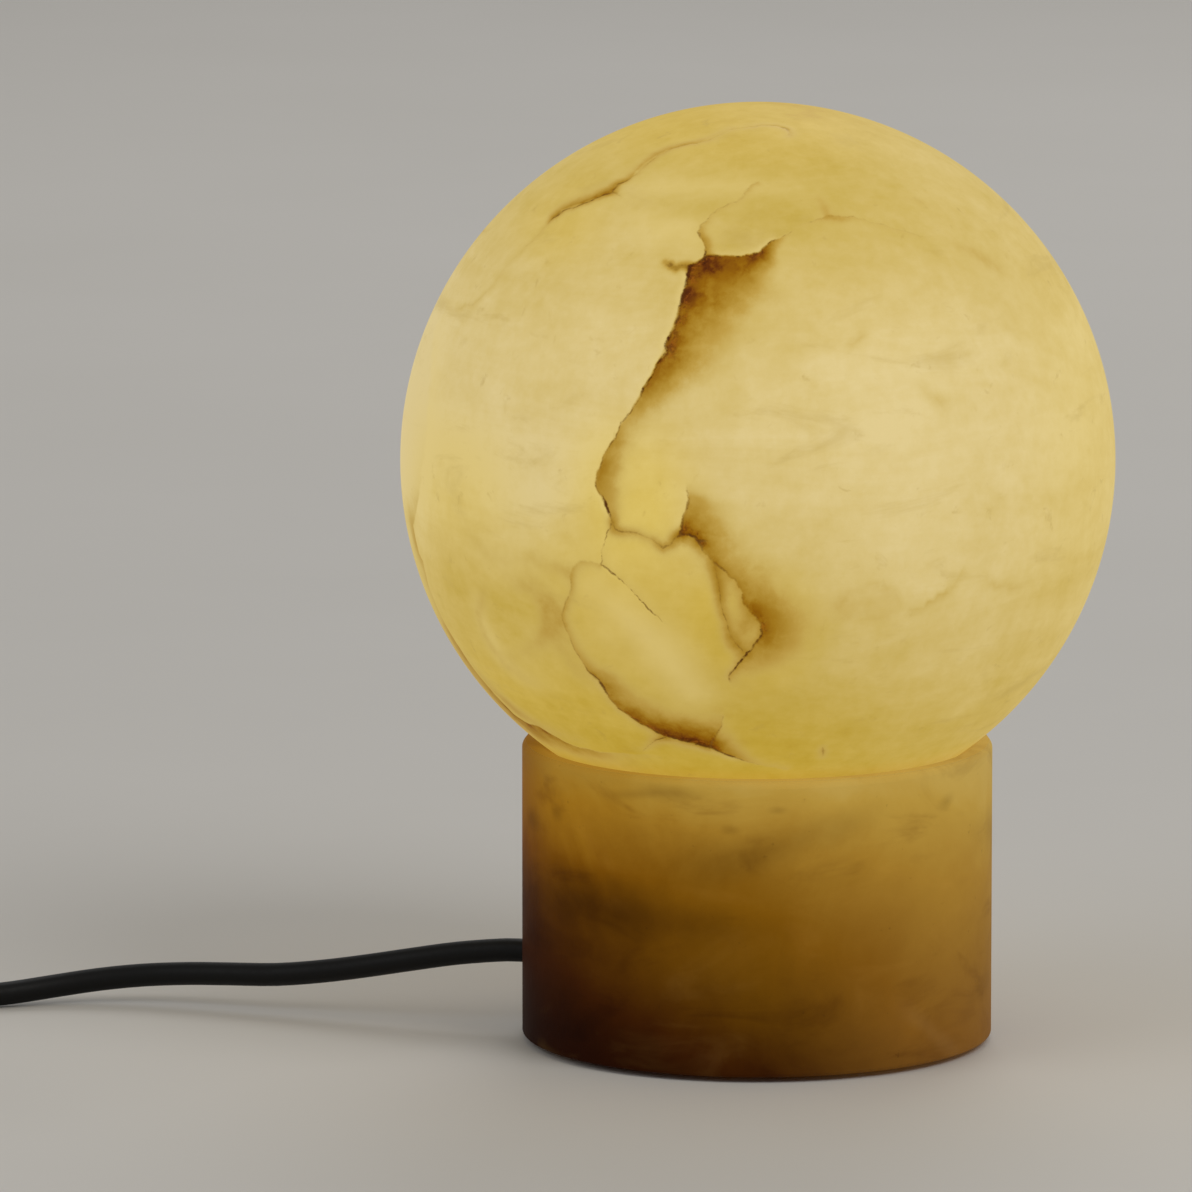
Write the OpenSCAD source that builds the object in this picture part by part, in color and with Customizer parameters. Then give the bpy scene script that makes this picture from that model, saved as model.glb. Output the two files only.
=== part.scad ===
// Stone globe lamp. A hollow stone globe sits in the dished top of a turned stone base. The base
// holds the wiring, and a stem through its web carries the bulb holder up to the globe's centre.
// The cord leaves the base near the table and runs through an in-line switch to a tied coil and plug.
// Millimetres, +Z up, origin on the table under the globe's centre.

/* [Globe] */
// Outside diameter of the globe
globe_d = 200; // [188:1:216]
// Thickness of the globe's stone wall
globe_wall = 8; // [6:0.5:12]
// Diameter of the mouth in the globe's underside
mouth_d = 68; // [60:1:72]
// Width of the flat lip around the mouth
mouth_lip = 3.7; // [2:0.1:5]

/* [Base] */
// Diameter of the stone base
base_d = 132; // [128:1:142]
// Height of the stone base
base_h = 83.4; // [80:0.2:96]
// Width of the flat rim outside the globe's contact circle
rim_w = 5.5; // [4:0.5:7]
// Radius of the rim's outer arris
rim_round = 2; // [1:0.25:3]
// Radius of the arris at the foot
foot_round = 1; // [0.5:0.25:1.5]
// Gap between the globe and its stone dish
dish_gap = 0.6; // [0.4:0.1:1]
// Gap between the globe and the felt seat
seat_gap = 0.3; // [0.2:0.05:0.4]
// Width of the felt seat
seat_w = 8; // [5:0.5:10]
// Depth of the groove that holds the felt
seat_groove = 1; // [0.6:0.1:2]
// Gap around the globe's lip in the well
well_gap = 2.3; // [1:0.1:3]
// Thickness of the stone web between well and chamber
web_t = 28; // [24:1:30]
// Diameter of the wiring chamber
chamber_d = 88; // [86:1:92]

/* [Cover and feet] */
// Diameter of the bottom cover
cover_d = 111.4; // [108:0.2:114]
// Thickness of the bottom cover
cover_t = 1.6; // [1:0.1:2]
// Depth of the recess that holds the cover
cover_recess = 2; // [1.6:0.1:3]
// Diameter of a rubber foot
foot_d = 14; // [10:1:16]
// Thickness of a rubber foot
foot_t = 2; // [1.8:0.1:4]
// Diameter of the circle of feet
foot_circle = 92; // [80:1:94]
// Number of feet, and of cover screws
foot_n = 4; // [3:1:6]
// Diameter of the circle of cover screws
screw_circle = 100; // [99:0.5:102]
// Length of a threaded insert in the stone
insert_l = 8; // [6:0.5:9]

/* [Stem and holder] */
// Outside diameter of the threaded tube
tube_d = 10; // [9:0.5:11]
// Wall of the threaded tube
tube_wall = 1; // [0.8:0.1:1.2]
// Outside diameter of the sleeve over the tube
sleeve_d = 14; // [13.5:0.5:18]
// Width of a lock nut across its flats
nut_af = 14; // [13:0.5:15]
// Height of a lock nut
nut_h = 4; // [3:0.5:5]
// Thickness of the metal plate on the well's floor
plate_t = 2; // [1.5:0.25:3]
// Air between that plate and the globe's lip
plate_air = 4; // [3:0.5:6]
// Height of the bulb's centre over the globe's centre
light_rise = 2; // [-4:1:6]
// Outside diameter of the holder's cup
cup_d = 28; // [27:0.5:32]
// Wall of the holder's cup
cup_wall = 1; // [0.8:0.1:1.2]
// Diameter of the ceramic holder body
holder_d = 21; // [20:0.5:22]
// Height of the ceramic holder body
holder_h = 24; // [22:1:28]

/* [Bulb] */
// Distance between the bulb's two pins
pin_pitch = 9; // [8.5:0.1:9.5]
// Length of the bulb's pins
pin_l = 9; // [8:0.5:9.5]
// Height of the bulb's plastic base
bulb_base_h = 9; // [7:0.5:12]
// Diameter of the bulb's milky cover
bulb_d = 17; // [16:0.5:19]
// Height of the bulb's milky cover
bulb_h = 43.4; // [38:0.2:48]

/* [Cord] */
// Diameter of the cord
cord_d = 6.6; // [6:0.1:7]
// Height of the cord's axis where it leaves the base
cord_z = 21.4; // [19:0.2:23]
// Turn of the cord's outlet towards the back
cord_turn = 14; // [0:1:25]
// Outside diameter of the bush in the outlet
grommet_d = 11; // [10.5:0.1:12]

/* [Switch] */
// Length of the switch's housing
switch_l = 56; // [54:1:60]
// Width of the switch's housing
switch_w = 27; // [26:0.5:30]
// Height of the switch's housing
switch_h = 17; // [17:0.5:20]
// Wall of the switch's housing
switch_wall = 2; // [1.5:0.1:2.2]
// Length of the rocker
rocker_l = 24; // [20:0.5:24]
// Width of the rocker
rocker_w = 11; // [9:0.5:11]
// Tilt of the rocker to either side
rocker_tilt = 8; // [5:1:9]

/* [Plug] */
// Width of the plug
plug_w = 35.3; // [33:0.1:37]
// Height of the plug
plug_h = 13.7; // [13:0.1:15]
// Length of the plug's body
plug_l = 32; // [28:0.5:36]
// Diameter of a pin
plug_pin_d = 4; // [3.8:0.1:4.2]
// Length of a pin
plug_pin_l = 19; // [18:0.5:20]
// Distance between the pins
plug_pitch = 18.5; // [17.5:0.1:19.2]

/* [Hidden] */
$fn = 64;
// Clearances: a close fit on a radius, a loose hole, and room around the cover
fit = 0.05;
loose = 0.2;
cover_gap = 0.3;

// Heights of the stone base, from the table up
stone_z0 = foot_t + cover_t - cover_recess;
stone_z1 = stone_z0 + base_h;
chamber_z0 = stone_z0 + cover_recess;
rim_r = base_d / 2 - rim_w;
globe_r = globe_d / 2;
globe_z = stone_z1 + sqrt(globe_r * globe_r - rim_r * rim_r);
dish_r = globe_r + dish_gap;
lip_r = mouth_d / 2 + mouth_lip;
globe_z0 = globe_z - sqrt(globe_r * globe_r - lip_r * lip_r);
well_r = lip_r + well_gap;
seat_r = (rim_r + well_r) / 2;
plate_z1 = globe_z0 - plate_air;
plate_z0 = plate_z1 - plate_t;
chamber_z1 = plate_z0 - web_t;
insert_d = 5;

// The strip under the web, with its washer and nut
strip_t = 1.5;
strip_l = chamber_d - 12;
strip_w = 22;
strip_z0 = chamber_z1 - strip_t;
washer_d = 20;
washer_t = 1.6;
nut_z0 = strip_z0 - washer_t - nut_h;
tube_over = 4;
tube_z0 = nut_z0 - tube_over;

// The holder, measured down from the bulb
bulb_z0 = globe_z + light_rise - bulb_base_h - bulb_h / 2;
bulb_gap = 0.4;
holder_z1 = bulb_z0 - bulb_gap;
holder_z0 = holder_z1 - holder_h;
holder_air = 1.2;
tube_z1 = holder_z0 - holder_air;
top_over = 1.3;
top_nut_z0 = tube_z1 - top_over - nut_h;
bracket_t = 1.2;
bracket_w = 8;
bracket_z0 = top_nut_z0 - bracket_t;
cup_floor = 1.5;
cup_z0 = bracket_z0 - cup_floor;
cup_z1 = holder_z1 - 2;
flat_x = holder_d / 2 - 1.1;
bracket_screw_z = holder_z0 + 8.5;
slot_l = 3.2;
slot_t = 1.6;
slot_z0 = holder_z1 - pin_l - 2;
pocket_h = 5;
pin_w = 2.4;
pin_t = 0.8;
leaf_t = 0.3;
contact_bore = 3.2;
board_w = 9;
board_t = 1.2;
board_h = bulb_h - 9.4;
led_rows = 7;

// Cord grip and connector, both hung from the strip
cord_r = cord_d / 2;
core_r = 1.2;
grip_x = 26;
grip_l = 14;
grip_w = 22;
grip_split = 0.6;
saddle_h = 5.4;
grip_screw_y = 7.5;
sheath_x = 16;
wire_room = 0.8;
block_x = -26;
block_l = 18;
block_w = 20;
block_h = 12.5;
block_z = strip_z0 - block_h / 2;
pole_y = 5;
pole_d = 5;
screw_d = 3;
head_d = 5.6;

// The switch lies on the table with its split face at the cord's height
switch_x = -311;
switch_y = 33.5;
switch_z = switch_h / 2;
sleeve_l = 20;
sleeve_r = 5;
sleeve_tip_r = 4;
neck_r = 4.5;
flange_r = 6.2;
flange_t = 2;
cord_stop = switch_l / 2 - 8.5;
boss_x = switch_l / 2 - 8;
boss_y = switch_w / 2 - 5.5;
boss_r = 3.4;
boss_head_d = 4.6;
pole_x = 12.5;
pole_l = 6;
pole_h = 4.6;
rocker_z = switch_z + 4.1;
rocker_gap = 0.35;
rocker_r = rocker_l / 2;
pivot_d = 3;
pivot_l = 2;

// The plug lies on the table in front of the coil
plug_x = -246;
relief_l = 24;
relief_r = 5.5;
relief_tip_r = 4.2;
bared_l = 9;
pin_step = 0.3;
plug_root_d = 2.6;
plug_root_l = 8;

// The coil: one tube that spirals in on the table and out again on top of that
coil_x = -344;
coil_y = -38;
coil_turns = 6.25;
coil_mid_r = 38;
coil_pitch = 7.3;
coil_rings = 24;
coil_sides = 6;
coil_turn_ease = 0.1;
tie_t = 0.8;
tie_w = 5;
tie_angle = 50;
coil_z = cord_r + tie_t + 0.3;
coil_mid = coil_turns / 2;
coil_in_r = coil_mid_r - coil_mid * coil_pitch / 2;
function eased(u) = sqrt(u * u + coil_turn_ease * coil_turn_ease) - coil_turn_ease;
function coil_r(t) = coil_in_r + coil_pitch * eased(t - coil_mid);
function climb(t) = let (u = min(1, max(0, (t - coil_mid) * 2 + 0.5))) u * u * (3 - 2 * u);
function coil_point(t) = let (a = 180 + 360 * t, r = coil_r(t))
    [coil_x + r * cos(a), coil_y + r * sin(a), coil_z + coil_pitch * climb(t)];
coil_out_r = coil_r(0);
coil_start = coil_point(0);
coil_end = coil_point(coil_turns);
coil_path = concat(
    [coil_start + [0, cord_d, 0]],
    [for (i = [0 : coil_turns * coil_rings]) coil_point(i / coil_rings)],
    [coil_end + [cord_d, 0, 0]]);

// Where the cord leaves the base
outlet_a = 180 - cord_turn;
outlet_way = [cos(outlet_a), sin(outlet_a), 0];
outlet = base_d / 2 * outlet_way + [0, 0, cord_z];

// The cord's free stretches, by points chosen along it
run_a_path = concat([outlet, outlet + cord_d * outlet_way], [
    [-84, 21, 19.8], [-97, 24.3, 17.4], [-110, 27.8, 14.8], [-123, 31.8, 12.4],
    [-136, 36.2, 10.6], [-149, 41, 9.8], [-161, 45.2, 9.1], [-174, 48, 8.1], [-187, 48.6, 6.7],
    [-200, 46.6, 5.1], [-212, 43, 3.9], [-224, 39, 3.5], [-236, 35.8, 4], [-248, 34.1, 6.1],
    [-258, switch_y, switch_z - 0.5]],
    [for (x = [-265, -278, switch_x + cord_stop]) [x, switch_y, switch_z]]);
run_b_path = concat([for (x = [switch_x - cord_stop, -345, -358]) [x, switch_y, switch_z]], [
    [-365, switch_y - 0.3, switch_z - 0.1], [-377, 28.7, 7.7], [-386, 19.6, 6.6],
    [-391, 8, 5.5], [-392.5, -4, 4.7]],
    [for (k = [3, 1]) coil_start + [0, k * cord_d, 0]]);
tail_path = concat([for (k = [1, 1.8]) coil_end + [k * cord_d, 0, 0]],
    [for (p = [[-326, 11.1], [-319.7, 9.3], [-313.5, 7.4]]) [p[0], coil_end[1], p[1]]],
    [for (k = [0.8, 0]) [plug_x - plug_l - relief_l - k * cord_d, coil_end[1], plug_h / 2]]);

function unit(v) = v / norm(v);
function heading(p, i) =
    i == 0 ? unit(p[1] - p[0]) :
    i == len(p) - 1 ? unit(p[i] - p[i - 1]) :
    unit(unit(p[i + 1] - p[i]) + unit(p[i] - p[i - 1]));
function ring_at(p, i, r, sides, side_of) =
    let (t = heading(p, i), u = unit(cross(side_of, t)), v = cross(t, u))
    [for (k = [0 : sides - 1]) let (a = 360 * (k + 0.5) / sides) p[i] + r * (cos(a) * u + sin(a) * v)];
function length_of(p) = [for (i = [1 : len(p) - 1]) norm(p[i] - p[i - 1])] * [for (i = [1 : len(p) - 1]) 1];

// A round tube swept along points. side_of is a direction that the path never runs along.
module swept(p, r, sides, side_of = [0, 0, 1]) {
    n = len(p);
    points = [for (i = [0 : n - 1]) each ring_at(p, i, r, sides, side_of)];
    walls = [for (i = [0 : n - 2], k = [0 : sides - 1])
        let (a = i * sides + k, b = i * sides + (k + 1) % sides)
        each [[a, a + sides, b + sides], [a, b + sides, b]]];
    first = [for (k = [1 : sides - 2]) [0, k, k + 1]];
    last = [for (k = [1 : sides - 2]) let (a = (n - 1) * sides) [a, a + k + 1, a + k]];
    polyhedron(points, concat(walls, first, last));
}

module rounded_rect(l, w, r) {
    square([l - 2 * r, w], center = true);
    square([l, w - 2 * r], center = true);
    for (x = [-1, 1], y = [-1, 1]) translate([x * (l / 2 - r), y * (w / 2 - r)]) circle(r);
}

module tube_between(r0, r1, z0, z1) {
    translate([0, 0, z0]) difference() {
        cylinder(r = r1, h = z1 - z0);
        translate([0, 0, -1]) cylinder(r = r0, h = z1 - z0 + 2);
    }
}

module around(n, r, start = 0) {
    for (i = [0 : n - 1]) rotate([0, 0, start + 360 * i / n]) translate([r, 0, 0]) children();
}

// Everything on the wiring's own axis: local +X points out of the cord's outlet
module wired() {
    rotate([0, 0, outlet_a]) children();
}

// A pan-head screw that points up, with its head's underside at the origin
module screw(d, l, head = head_d, head_t = 2) {
    difference() {
        union() {
            translate([0, 0, -head_t]) cylinder(d = head, h = head_t);
            cylinder(d = d, h = l);
        }
        translate([-head, -0.4, -head_t - 1]) cube([2 * head, 0.8, 1.7]);
    }
}

module lock_nut(z) {
    translate([0, 0, z]) difference() {
        cylinder(d = nut_af / cos(30), h = nut_h, $fn = 6);
        translate([0, 0, -1]) cylinder(d = tube_d + 2 * fit, h = nut_h + 2);
    }
}

module globe() {
    color("#e2cf86") difference() {
        translate([0, 0, globe_z]) sphere(globe_r);
        translate([0, 0, globe_z]) sphere(globe_r - globe_wall);
        translate([0, 0, globe_z0 - globe_r]) cylinder(r = globe_r, h = globe_r);
        translate([0, 0, globe_z0 - 1]) cylinder(d = mouth_d, h = globe_r / 2);
    }
}

module base_profile() {
    r = base_d / 2;
    translate([0, stone_z0 + foot_round]) square([r, base_h - foot_round - rim_round]);
    translate([0, stone_z0]) square([r - foot_round, base_h]);
    translate([0, stone_z1 - 2 * rim_round]) square([r - rim_round, 2 * rim_round]);
    translate([r - foot_round, stone_z0 + foot_round]) circle(foot_round);
    translate([r - rim_round, stone_z1 - rim_round]) circle(rim_round);
}

module base() {
    color("#b98f3c") difference() {
        rotate_extrude() intersection() {
            base_profile();
            translate([0, stone_z0]) square([base_d, base_h]);
        }
        translate([0, 0, globe_z]) sphere(dish_r);
        intersection() {
            translate([0, 0, globe_z]) sphere(dish_r + seat_groove);
            tube_between(seat_r - seat_w / 2 - fit, seat_r + seat_w / 2 + fit, plate_z0, globe_z);
        }
        translate([0, 0, plate_z0]) cylinder(r = well_r, h = base_h);
        translate([0, 0, stone_z0]) cylinder(d = tube_d + 1, h = base_h);
        translate([0, 0, stone_z0 - 1]) cylinder(d = chamber_d, h = chamber_z1 - stone_z0 + 1);
        translate([0, 0, stone_z0 - 1]) cylinder(d = cover_d + 2 * cover_gap, h = cover_recess + 1);
        around(foot_n, screw_circle / 2)
            translate([0, 0, chamber_z0 - 1]) cylinder(d = insert_d + 2 * fit, h = insert_l + 2);
        wired() translate([chamber_d / 2 - 6, 0, cord_z]) rotate([0, 90, 0])
            cylinder(d = grommet_d + 2 * fit, h = base_d);
    }
}

module seat_ring() {
    color("#3a3128") difference() {
        intersection() {
            translate([0, 0, globe_z]) sphere(dish_r + seat_groove - fit);
            tube_between(seat_r - seat_w / 2, seat_r + seat_w / 2, plate_z0, stone_z1);
        }
        translate([0, 0, globe_z]) sphere(globe_r + seat_gap);
    }
}

module top_plate() {
    r = well_r - 3;
    color("#b08d4c") difference() {
        union() {
            translate([0, 0, plate_z0]) cylinder(r = r, h = plate_t - 0.5);
            translate([0, 0, plate_z1 - 0.5]) cylinder(r1 = r, r2 = r - 0.5, h = 0.5);
        }
        translate([0, 0, plate_z0 - 1]) cylinder(d = tube_d + 2 * loose, h = plate_t + 2);
    }
}

module stem_sleeve() {
    color("#b08d4c") tube_between(tube_d / 2 + 0.5, sleeve_d / 2, plate_z1, cup_z0);
}

module threaded_tube() {
    color("#b9babc") tube_between(tube_d / 2 - tube_wall, tube_d / 2, tube_z0, tube_z1);
}

module tube_nuts() {
    color("#b9babc") {
        lock_nut(nut_z0);
        lock_nut(top_nut_z0);
    }
}

module tube_washer() {
    color("#b9babc") tube_between(tube_d / 2 + loose, washer_d / 2, strip_z0 - washer_t, strip_z0);
}

module holder_cup() {
    color("#b08d4c") difference() {
        translate([0, 0, cup_z0]) cylinder(d = cup_d, h = cup_z1 - cup_z0);
        translate([0, 0, cup_z0 + cup_floor]) cylinder(d = cup_d - 2 * cup_wall, h = holder_h * 2);
        translate([0, 0, cup_z0 - 1]) cylinder(d = tube_d + 2 * loose, h = cup_floor + 2);
    }
}

module holder_bracket() {
    color("#c3c4c6") wired() difference() {
        union() {
            translate([0, 0, bracket_z0]) cylinder(r = flat_x, h = bracket_t);
            for (s = [-1, 1]) translate([s * (flat_x + bracket_t / 2), 0, 0]) {
                translate([-bracket_t / 2, -bracket_w / 2, bracket_z0])
                    cube([bracket_t, bracket_w, bracket_screw_z + 4 - bracket_z0]);
                translate([s > 0 ? -bracket_t : 0, -bracket_w / 2, bracket_z0])
                    cube([bracket_t, bracket_w, bracket_t]);
            }
        }
        translate([0, 0, bracket_z0 - 1]) cylinder(d = tube_d + 2 * loose, h = bracket_t + 2);
        translate([-cup_d, 0, bracket_screw_z]) rotate([0, 90, 0])
            cylinder(d = screw_d + 2 * loose, h = 2 * cup_d);
    }
}

module holder_screws() {
    color("#b9babc") wired() for (a = [0, 180]) rotate([0, 0, a])
        translate([flat_x + bracket_t, 0, bracket_screw_z]) rotate([0, -90, 0])
            screw(screw_d, 5, 5, 1.2);
}

module holder_body() {
    color("#f1eee6") wired() difference() {
        intersection() {
            translate([0, 0, holder_z0]) cylinder(d = holder_d, h = holder_h);
            translate([-flat_x, -holder_d, holder_z0 - 1])
                cube([2 * flat_x, 2 * holder_d, holder_h + 2]);
        }
        translate([0, 0, holder_z0 - 1]) cylinder(d = 14, h = pocket_h + 1);
        for (s = [-1, 1]) translate([0, s * pin_pitch / 2, 0]) {
            translate([-slot_l / 2, -slot_t / 2, slot_z0]) cube([slot_l, slot_t, holder_h]);
            translate([0, 0, holder_z0]) cylinder(d = contact_bore, h = slot_z0 - holder_z0);
        }
        for (a = [0, 180]) rotate([0, 0, a]) translate([flat_x - 4.5, 0, bracket_screw_z])
            rotate([0, 90, 0]) cylinder(d = screw_d + 2 * fit, h = 6);
    }
}

module holder_contacts() {
    w = slot_l - 0.6;
    color("#c9a24a") wired() for (s = [-1, 1]) translate([0, s * pin_pitch / 2, slot_z0 + fit]) {
        for (k = [-1, 1]) translate([-w / 2, k * (pin_t / 2 + fit + leaf_t / 2) - leaf_t / 2, 0])
            cube([w, leaf_t, pin_l]);
        translate([-w / 2, -pin_t / 2 - fit - leaf_t, 0]) cube([w, pin_t + 2 * fit + 2 * leaf_t, leaf_t]);
        translate([-0.6, -leaf_t / 2, -2.3]) cube([1.2, leaf_t, 2.3 + leaf_t]);
    }
}

module holder_wires() {
    top = slot_z0 + fit - 2.3;
    color("#6d5536") wired() for (s = [-1, 1]) {
        path = [
            [block_x - block_l / 2 + 3, s * pole_y, block_z], [block_x - block_l / 2 - 1, s * pole_y, block_z],
            [block_x - block_l / 2 - 4.5, s * pole_y, block_z - 1.4],
            [block_x - block_l / 2 - 6, s * pole_y, block_z - 5],
            [block_x - block_l / 2 - 4.5, s * pole_y, block_z - 8.6],
            [block_x - block_l / 2, s * 4.8, block_z - 10.6], [-20, s * 4.2, block_z - 11.4],
            [-10, s * 3, tube_z0 - 8], [-3.6, s * 2.2, tube_z0 - 5.6], [-0.8, s * 1.8, tube_z0 - 2],
            [0, s * 1.7, tube_z0 + 3], [0, s * 1.7, tube_z0 + 30], [0, s * 1.7, tube_z1 - 3],
            [0, s * 2, holder_z0], [0, s * 3.4, holder_z0 + 3],
            [0, s * pin_pitch / 2, holder_z0 + 6], [0, s * pin_pitch / 2, top]];
        swept(path, core_r, 8, [0, 1, 0]);
    }
}

module bulb_pins() {
    color("#c8c8c8") wired() for (s = [-1, 1])
        translate([0, s * pin_pitch / 2 + pin_t / 2, bulb_z0]) rotate([90, 0, 0])
            linear_extrude(pin_t) difference() {
                union() {
                    translate([-pin_w / 2, -pin_l + pin_w / 2]) square([pin_w, pin_l - pin_w / 2]);
                    translate([0, -pin_l + pin_w / 2]) circle(d = pin_w);
                }
                translate([-0.5, -pin_l + pin_w / 2]) square([1, pin_l - pin_w / 2 - 1]);
            }
}

module bulb_base() {
    low = bulb_base_h * 0.55;
    color("#f4f2ec") wired() translate([0, 0, bulb_z0]) {
        intersection() {
            cylinder(d = bulb_d - 1.5, h = low);
            translate([-bulb_d, -6.2, 0]) cube([2 * bulb_d, 12.4, low]);
        }
        translate([0, 0, low]) cylinder(d1 = bulb_d - 1.5, d2 = bulb_d, h = 1);
        translate([0, 0, low + 1]) cylinder(d = bulb_d, h = bulb_base_h - low - 1);
    }
}

module dome(r, h) {
    cylinder(r = r, h = h - r);
    translate([0, 0, h - r]) sphere(r);
}

module bulb_cover() {
    color("#fff6da") translate([0, 0, bulb_z0 + bulb_base_h]) difference() {
        intersection() {
            dome(bulb_d / 2, bulb_h);
            cylinder(r = bulb_d, h = bulb_h + 1);
        }
        translate([0, 0, -1]) dome(bulb_d / 2 - 1, bulb_h);
    }
}

module bulb_board() {
    color("#dfe3e0") wired() translate([-board_w / 2, -board_t / 2, bulb_z0 + bulb_base_h])
        cube([board_w, board_t, board_h]);
}

module bulb_leds() {
    color("#f3d24b") wired() translate([0, 0, bulb_z0 + bulb_base_h])
        for (i = [0 : led_rows - 1], x = [-1, 1], s = [-1, 1])
            translate([x * 2.3 - 1.1, s > 0 ? board_t / 2 : -board_t / 2 - 0.5,
                    3 + (board_h - 8) * i / (led_rows - 1)])
                cube([2.2, 0.5, 2.8]);
}

module chamber_plate() {
    color("#c3c4c6") wired() difference() {
        translate([0, 0, strip_z0]) linear_extrude(strip_t) rounded_rect(strip_l, strip_w, 3);
        translate([0, 0, strip_z0 - 1]) cylinder(d = tube_d + 2 * loose, h = strip_t + 2);
        for (s = [-1, 1]) translate([grip_x, s * grip_screw_y, strip_z0 - 1])
            cylinder(d = screw_d + 2 * fit, h = strip_t + 2);
        translate([block_x, 0, strip_z0 - 1]) cylinder(d = screw_d + 2 * fit, h = strip_t + 2);
    }
}

module cord_inner() {
    color("#1d1c1b") wired() translate([sheath_x, 0, cord_z]) rotate([0, 90, 0])
        cylinder(r = cord_r, h = base_d / 2 - sheath_x);
}

module supply_wires() {
    end = block_x + block_l / 2;
    past = nut_af / 2 / cos(30) + core_r + wire_room;
    color("#6d5536") wired() for (s = [-1, 1]) {
        path = [
            [sheath_x, s * 1.7, cord_z], [sheath_x - 2.2, s * 1.7, cord_z], [past + 0.6, s * 4.6, cord_z],
            [past * 0.6, s * past * 0.85, cord_z + 0.2], [past * 0.1, s * past, cord_z + 0.8],
            [-past * 0.5, s * past * 0.88, block_z - 6.5], [end - 0.5 + past, s * 6.4, block_z - 3.4],
            [end + 4.5, s * 5.4, block_z - 0.8], [end + 1.5, s * pole_y, block_z],
            [end - 3, s * pole_y, block_z]];
        swept(path, core_r, 8);
    }
}

module cord_grommet() {
    flange_x = sqrt(pow(chamber_d / 2, 2) - pow(grommet_d / 2 + 2, 2)) - 0.1;
    end_x = sqrt(pow(base_d / 2, 2) - pow(grommet_d / 2, 2)) - 0.3;
    color("#232221") wired() translate([0, 0, cord_z]) rotate([0, 90, 0]) difference() {
        union() {
            translate([0, 0, flange_x - 2]) cylinder(d = grommet_d + 4, h = 2);
            translate([0, 0, flange_x - 1]) cylinder(d = grommet_d, h = end_x - flange_x + 1);
        }
        translate([0, 0, flange_x - 3]) cylinder(r = cord_r + 0.1, h = base_d);
    }
}

// Cuts for the cord and the two grip screws, shared by both halves of the grip
module grip_cuts(hole) {
    translate([grip_x - grip_l, 0, cord_z]) rotate([0, 90, 0])
        cylinder(r = cord_r + fit, h = 2 * grip_l);
    for (s = [-1, 1]) translate([grip_x, s * grip_screw_y, 0]) cylinder(d = hole, h = chamber_z1);
}

module clamp_block() {
    z0 = cord_z + grip_split;
    color("#e9e6dc") wired() difference() {
        translate([grip_x - grip_l / 2, -grip_w / 2, z0]) cube([grip_l, grip_w, strip_z0 - z0]);
        grip_cuts(screw_d + 2 * loose);
    }
}

module clamp_saddle() {
    color("#e9e6dc") wired() difference() {
        translate([grip_x, 0, cord_z - grip_split - saddle_h]) linear_extrude(saddle_h)
            rounded_rect(grip_l, grip_w, 2.5);
        grip_cuts(screw_d + 2 * loose);
    }
}

module clamp_screws() {
    z0 = cord_z - grip_split - saddle_h;
    color("#b9babc") wired() for (s = [-1, 1]) translate([grip_x, s * grip_screw_y, z0])
        screw(screw_d, chamber_z1 - 0.4 - z0);
}

module terminal_block() {
    color("#f4f1e8") wired() difference() {
        translate([block_x - block_l / 2, -block_w / 2, strip_z0 - block_h])
            cube([block_l, block_w, block_h]);
        for (s = [-1, 1]) translate([block_x, s * pole_y, block_z]) {
            translate([-block_l, 0, 0]) rotate([0, 90, 0]) cylinder(d = pole_d + 2 * fit, h = 2 * block_l);
            for (k = [-1, 1]) translate([k * 4, 0, -block_h]) cylinder(d = 3.6, h = block_h);
        }
        translate([block_x, 0, 0]) cylinder(d = screw_d + 2 * loose, h = chamber_z1);
    }
}

module terminal_sleeves() {
    l = block_l - 4;
    color("#c9a24a") wired() for (s = [-1, 1]) translate([block_x, s * pole_y, block_z]) difference() {
        translate([-l / 2, 0, 0]) rotate([0, 90, 0]) cylinder(d = pole_d, h = l);
        translate([-l, 0, 0]) rotate([0, 90, 0]) cylinder(r = core_r + loose, h = 2 * l);
        for (k = [-1, 1]) translate([k * 4, 0, -pole_d]) cylinder(d = 2.6, h = pole_d - core_r);
    }
}

module terminal_screws() {
    color("#b9babc") wired() {
        for (s = [-1, 1], k = [-1, 1]) translate([block_x + k * 4, s * pole_y, block_z - 5.4])
            cylinder(d = 2.5, h = 5.4 - core_r - fit);
        translate([block_x, 0, strip_z0 - block_h]) screw(screw_d, block_h + strip_t - 0.3);
    }
}

module bottom_cover() {
    color("#26241f") difference() {
        translate([0, 0, foot_t]) cylinder(d = cover_d, h = cover_t);
        around(foot_n, screw_circle / 2)
            translate([0, 0, foot_t - 1]) cylinder(d = screw_d + 2 * loose, h = cover_t + 2);
    }
}

module cover_screws() {
    color("#8f9092") around(foot_n, screw_circle / 2) translate([0, 0, foot_t])
        screw(screw_d, cover_t + insert_l - 2, head_d, 1.5);
}

module cover_inserts() {
    color("#c9a24a") around(foot_n, screw_circle / 2)
        tube_between(screw_d / 2 + fit, insert_d / 2, chamber_z0, chamber_z0 + insert_l);
}

module rubber_feet() {
    color("#1a1918") around(foot_n, foot_circle / 2, 180 / foot_n)
        cylinder(d1 = foot_d - 1, d2 = foot_d, h = foot_t);
}

module cord_run_a() {
    color("#1d1c1b") swept(run_a_path, cord_r, 12);
}

module cord_run_b() {
    color("#1d1c1b") swept(run_b_path, cord_r, 12);
}

module cord_tail() {
    color("#1d1c1b") swept(tail_path, cord_r, 12);
}

module cord_coil() {
    color("#1d1c1b") swept(coil_path, cord_r, coil_sides);
}

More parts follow.
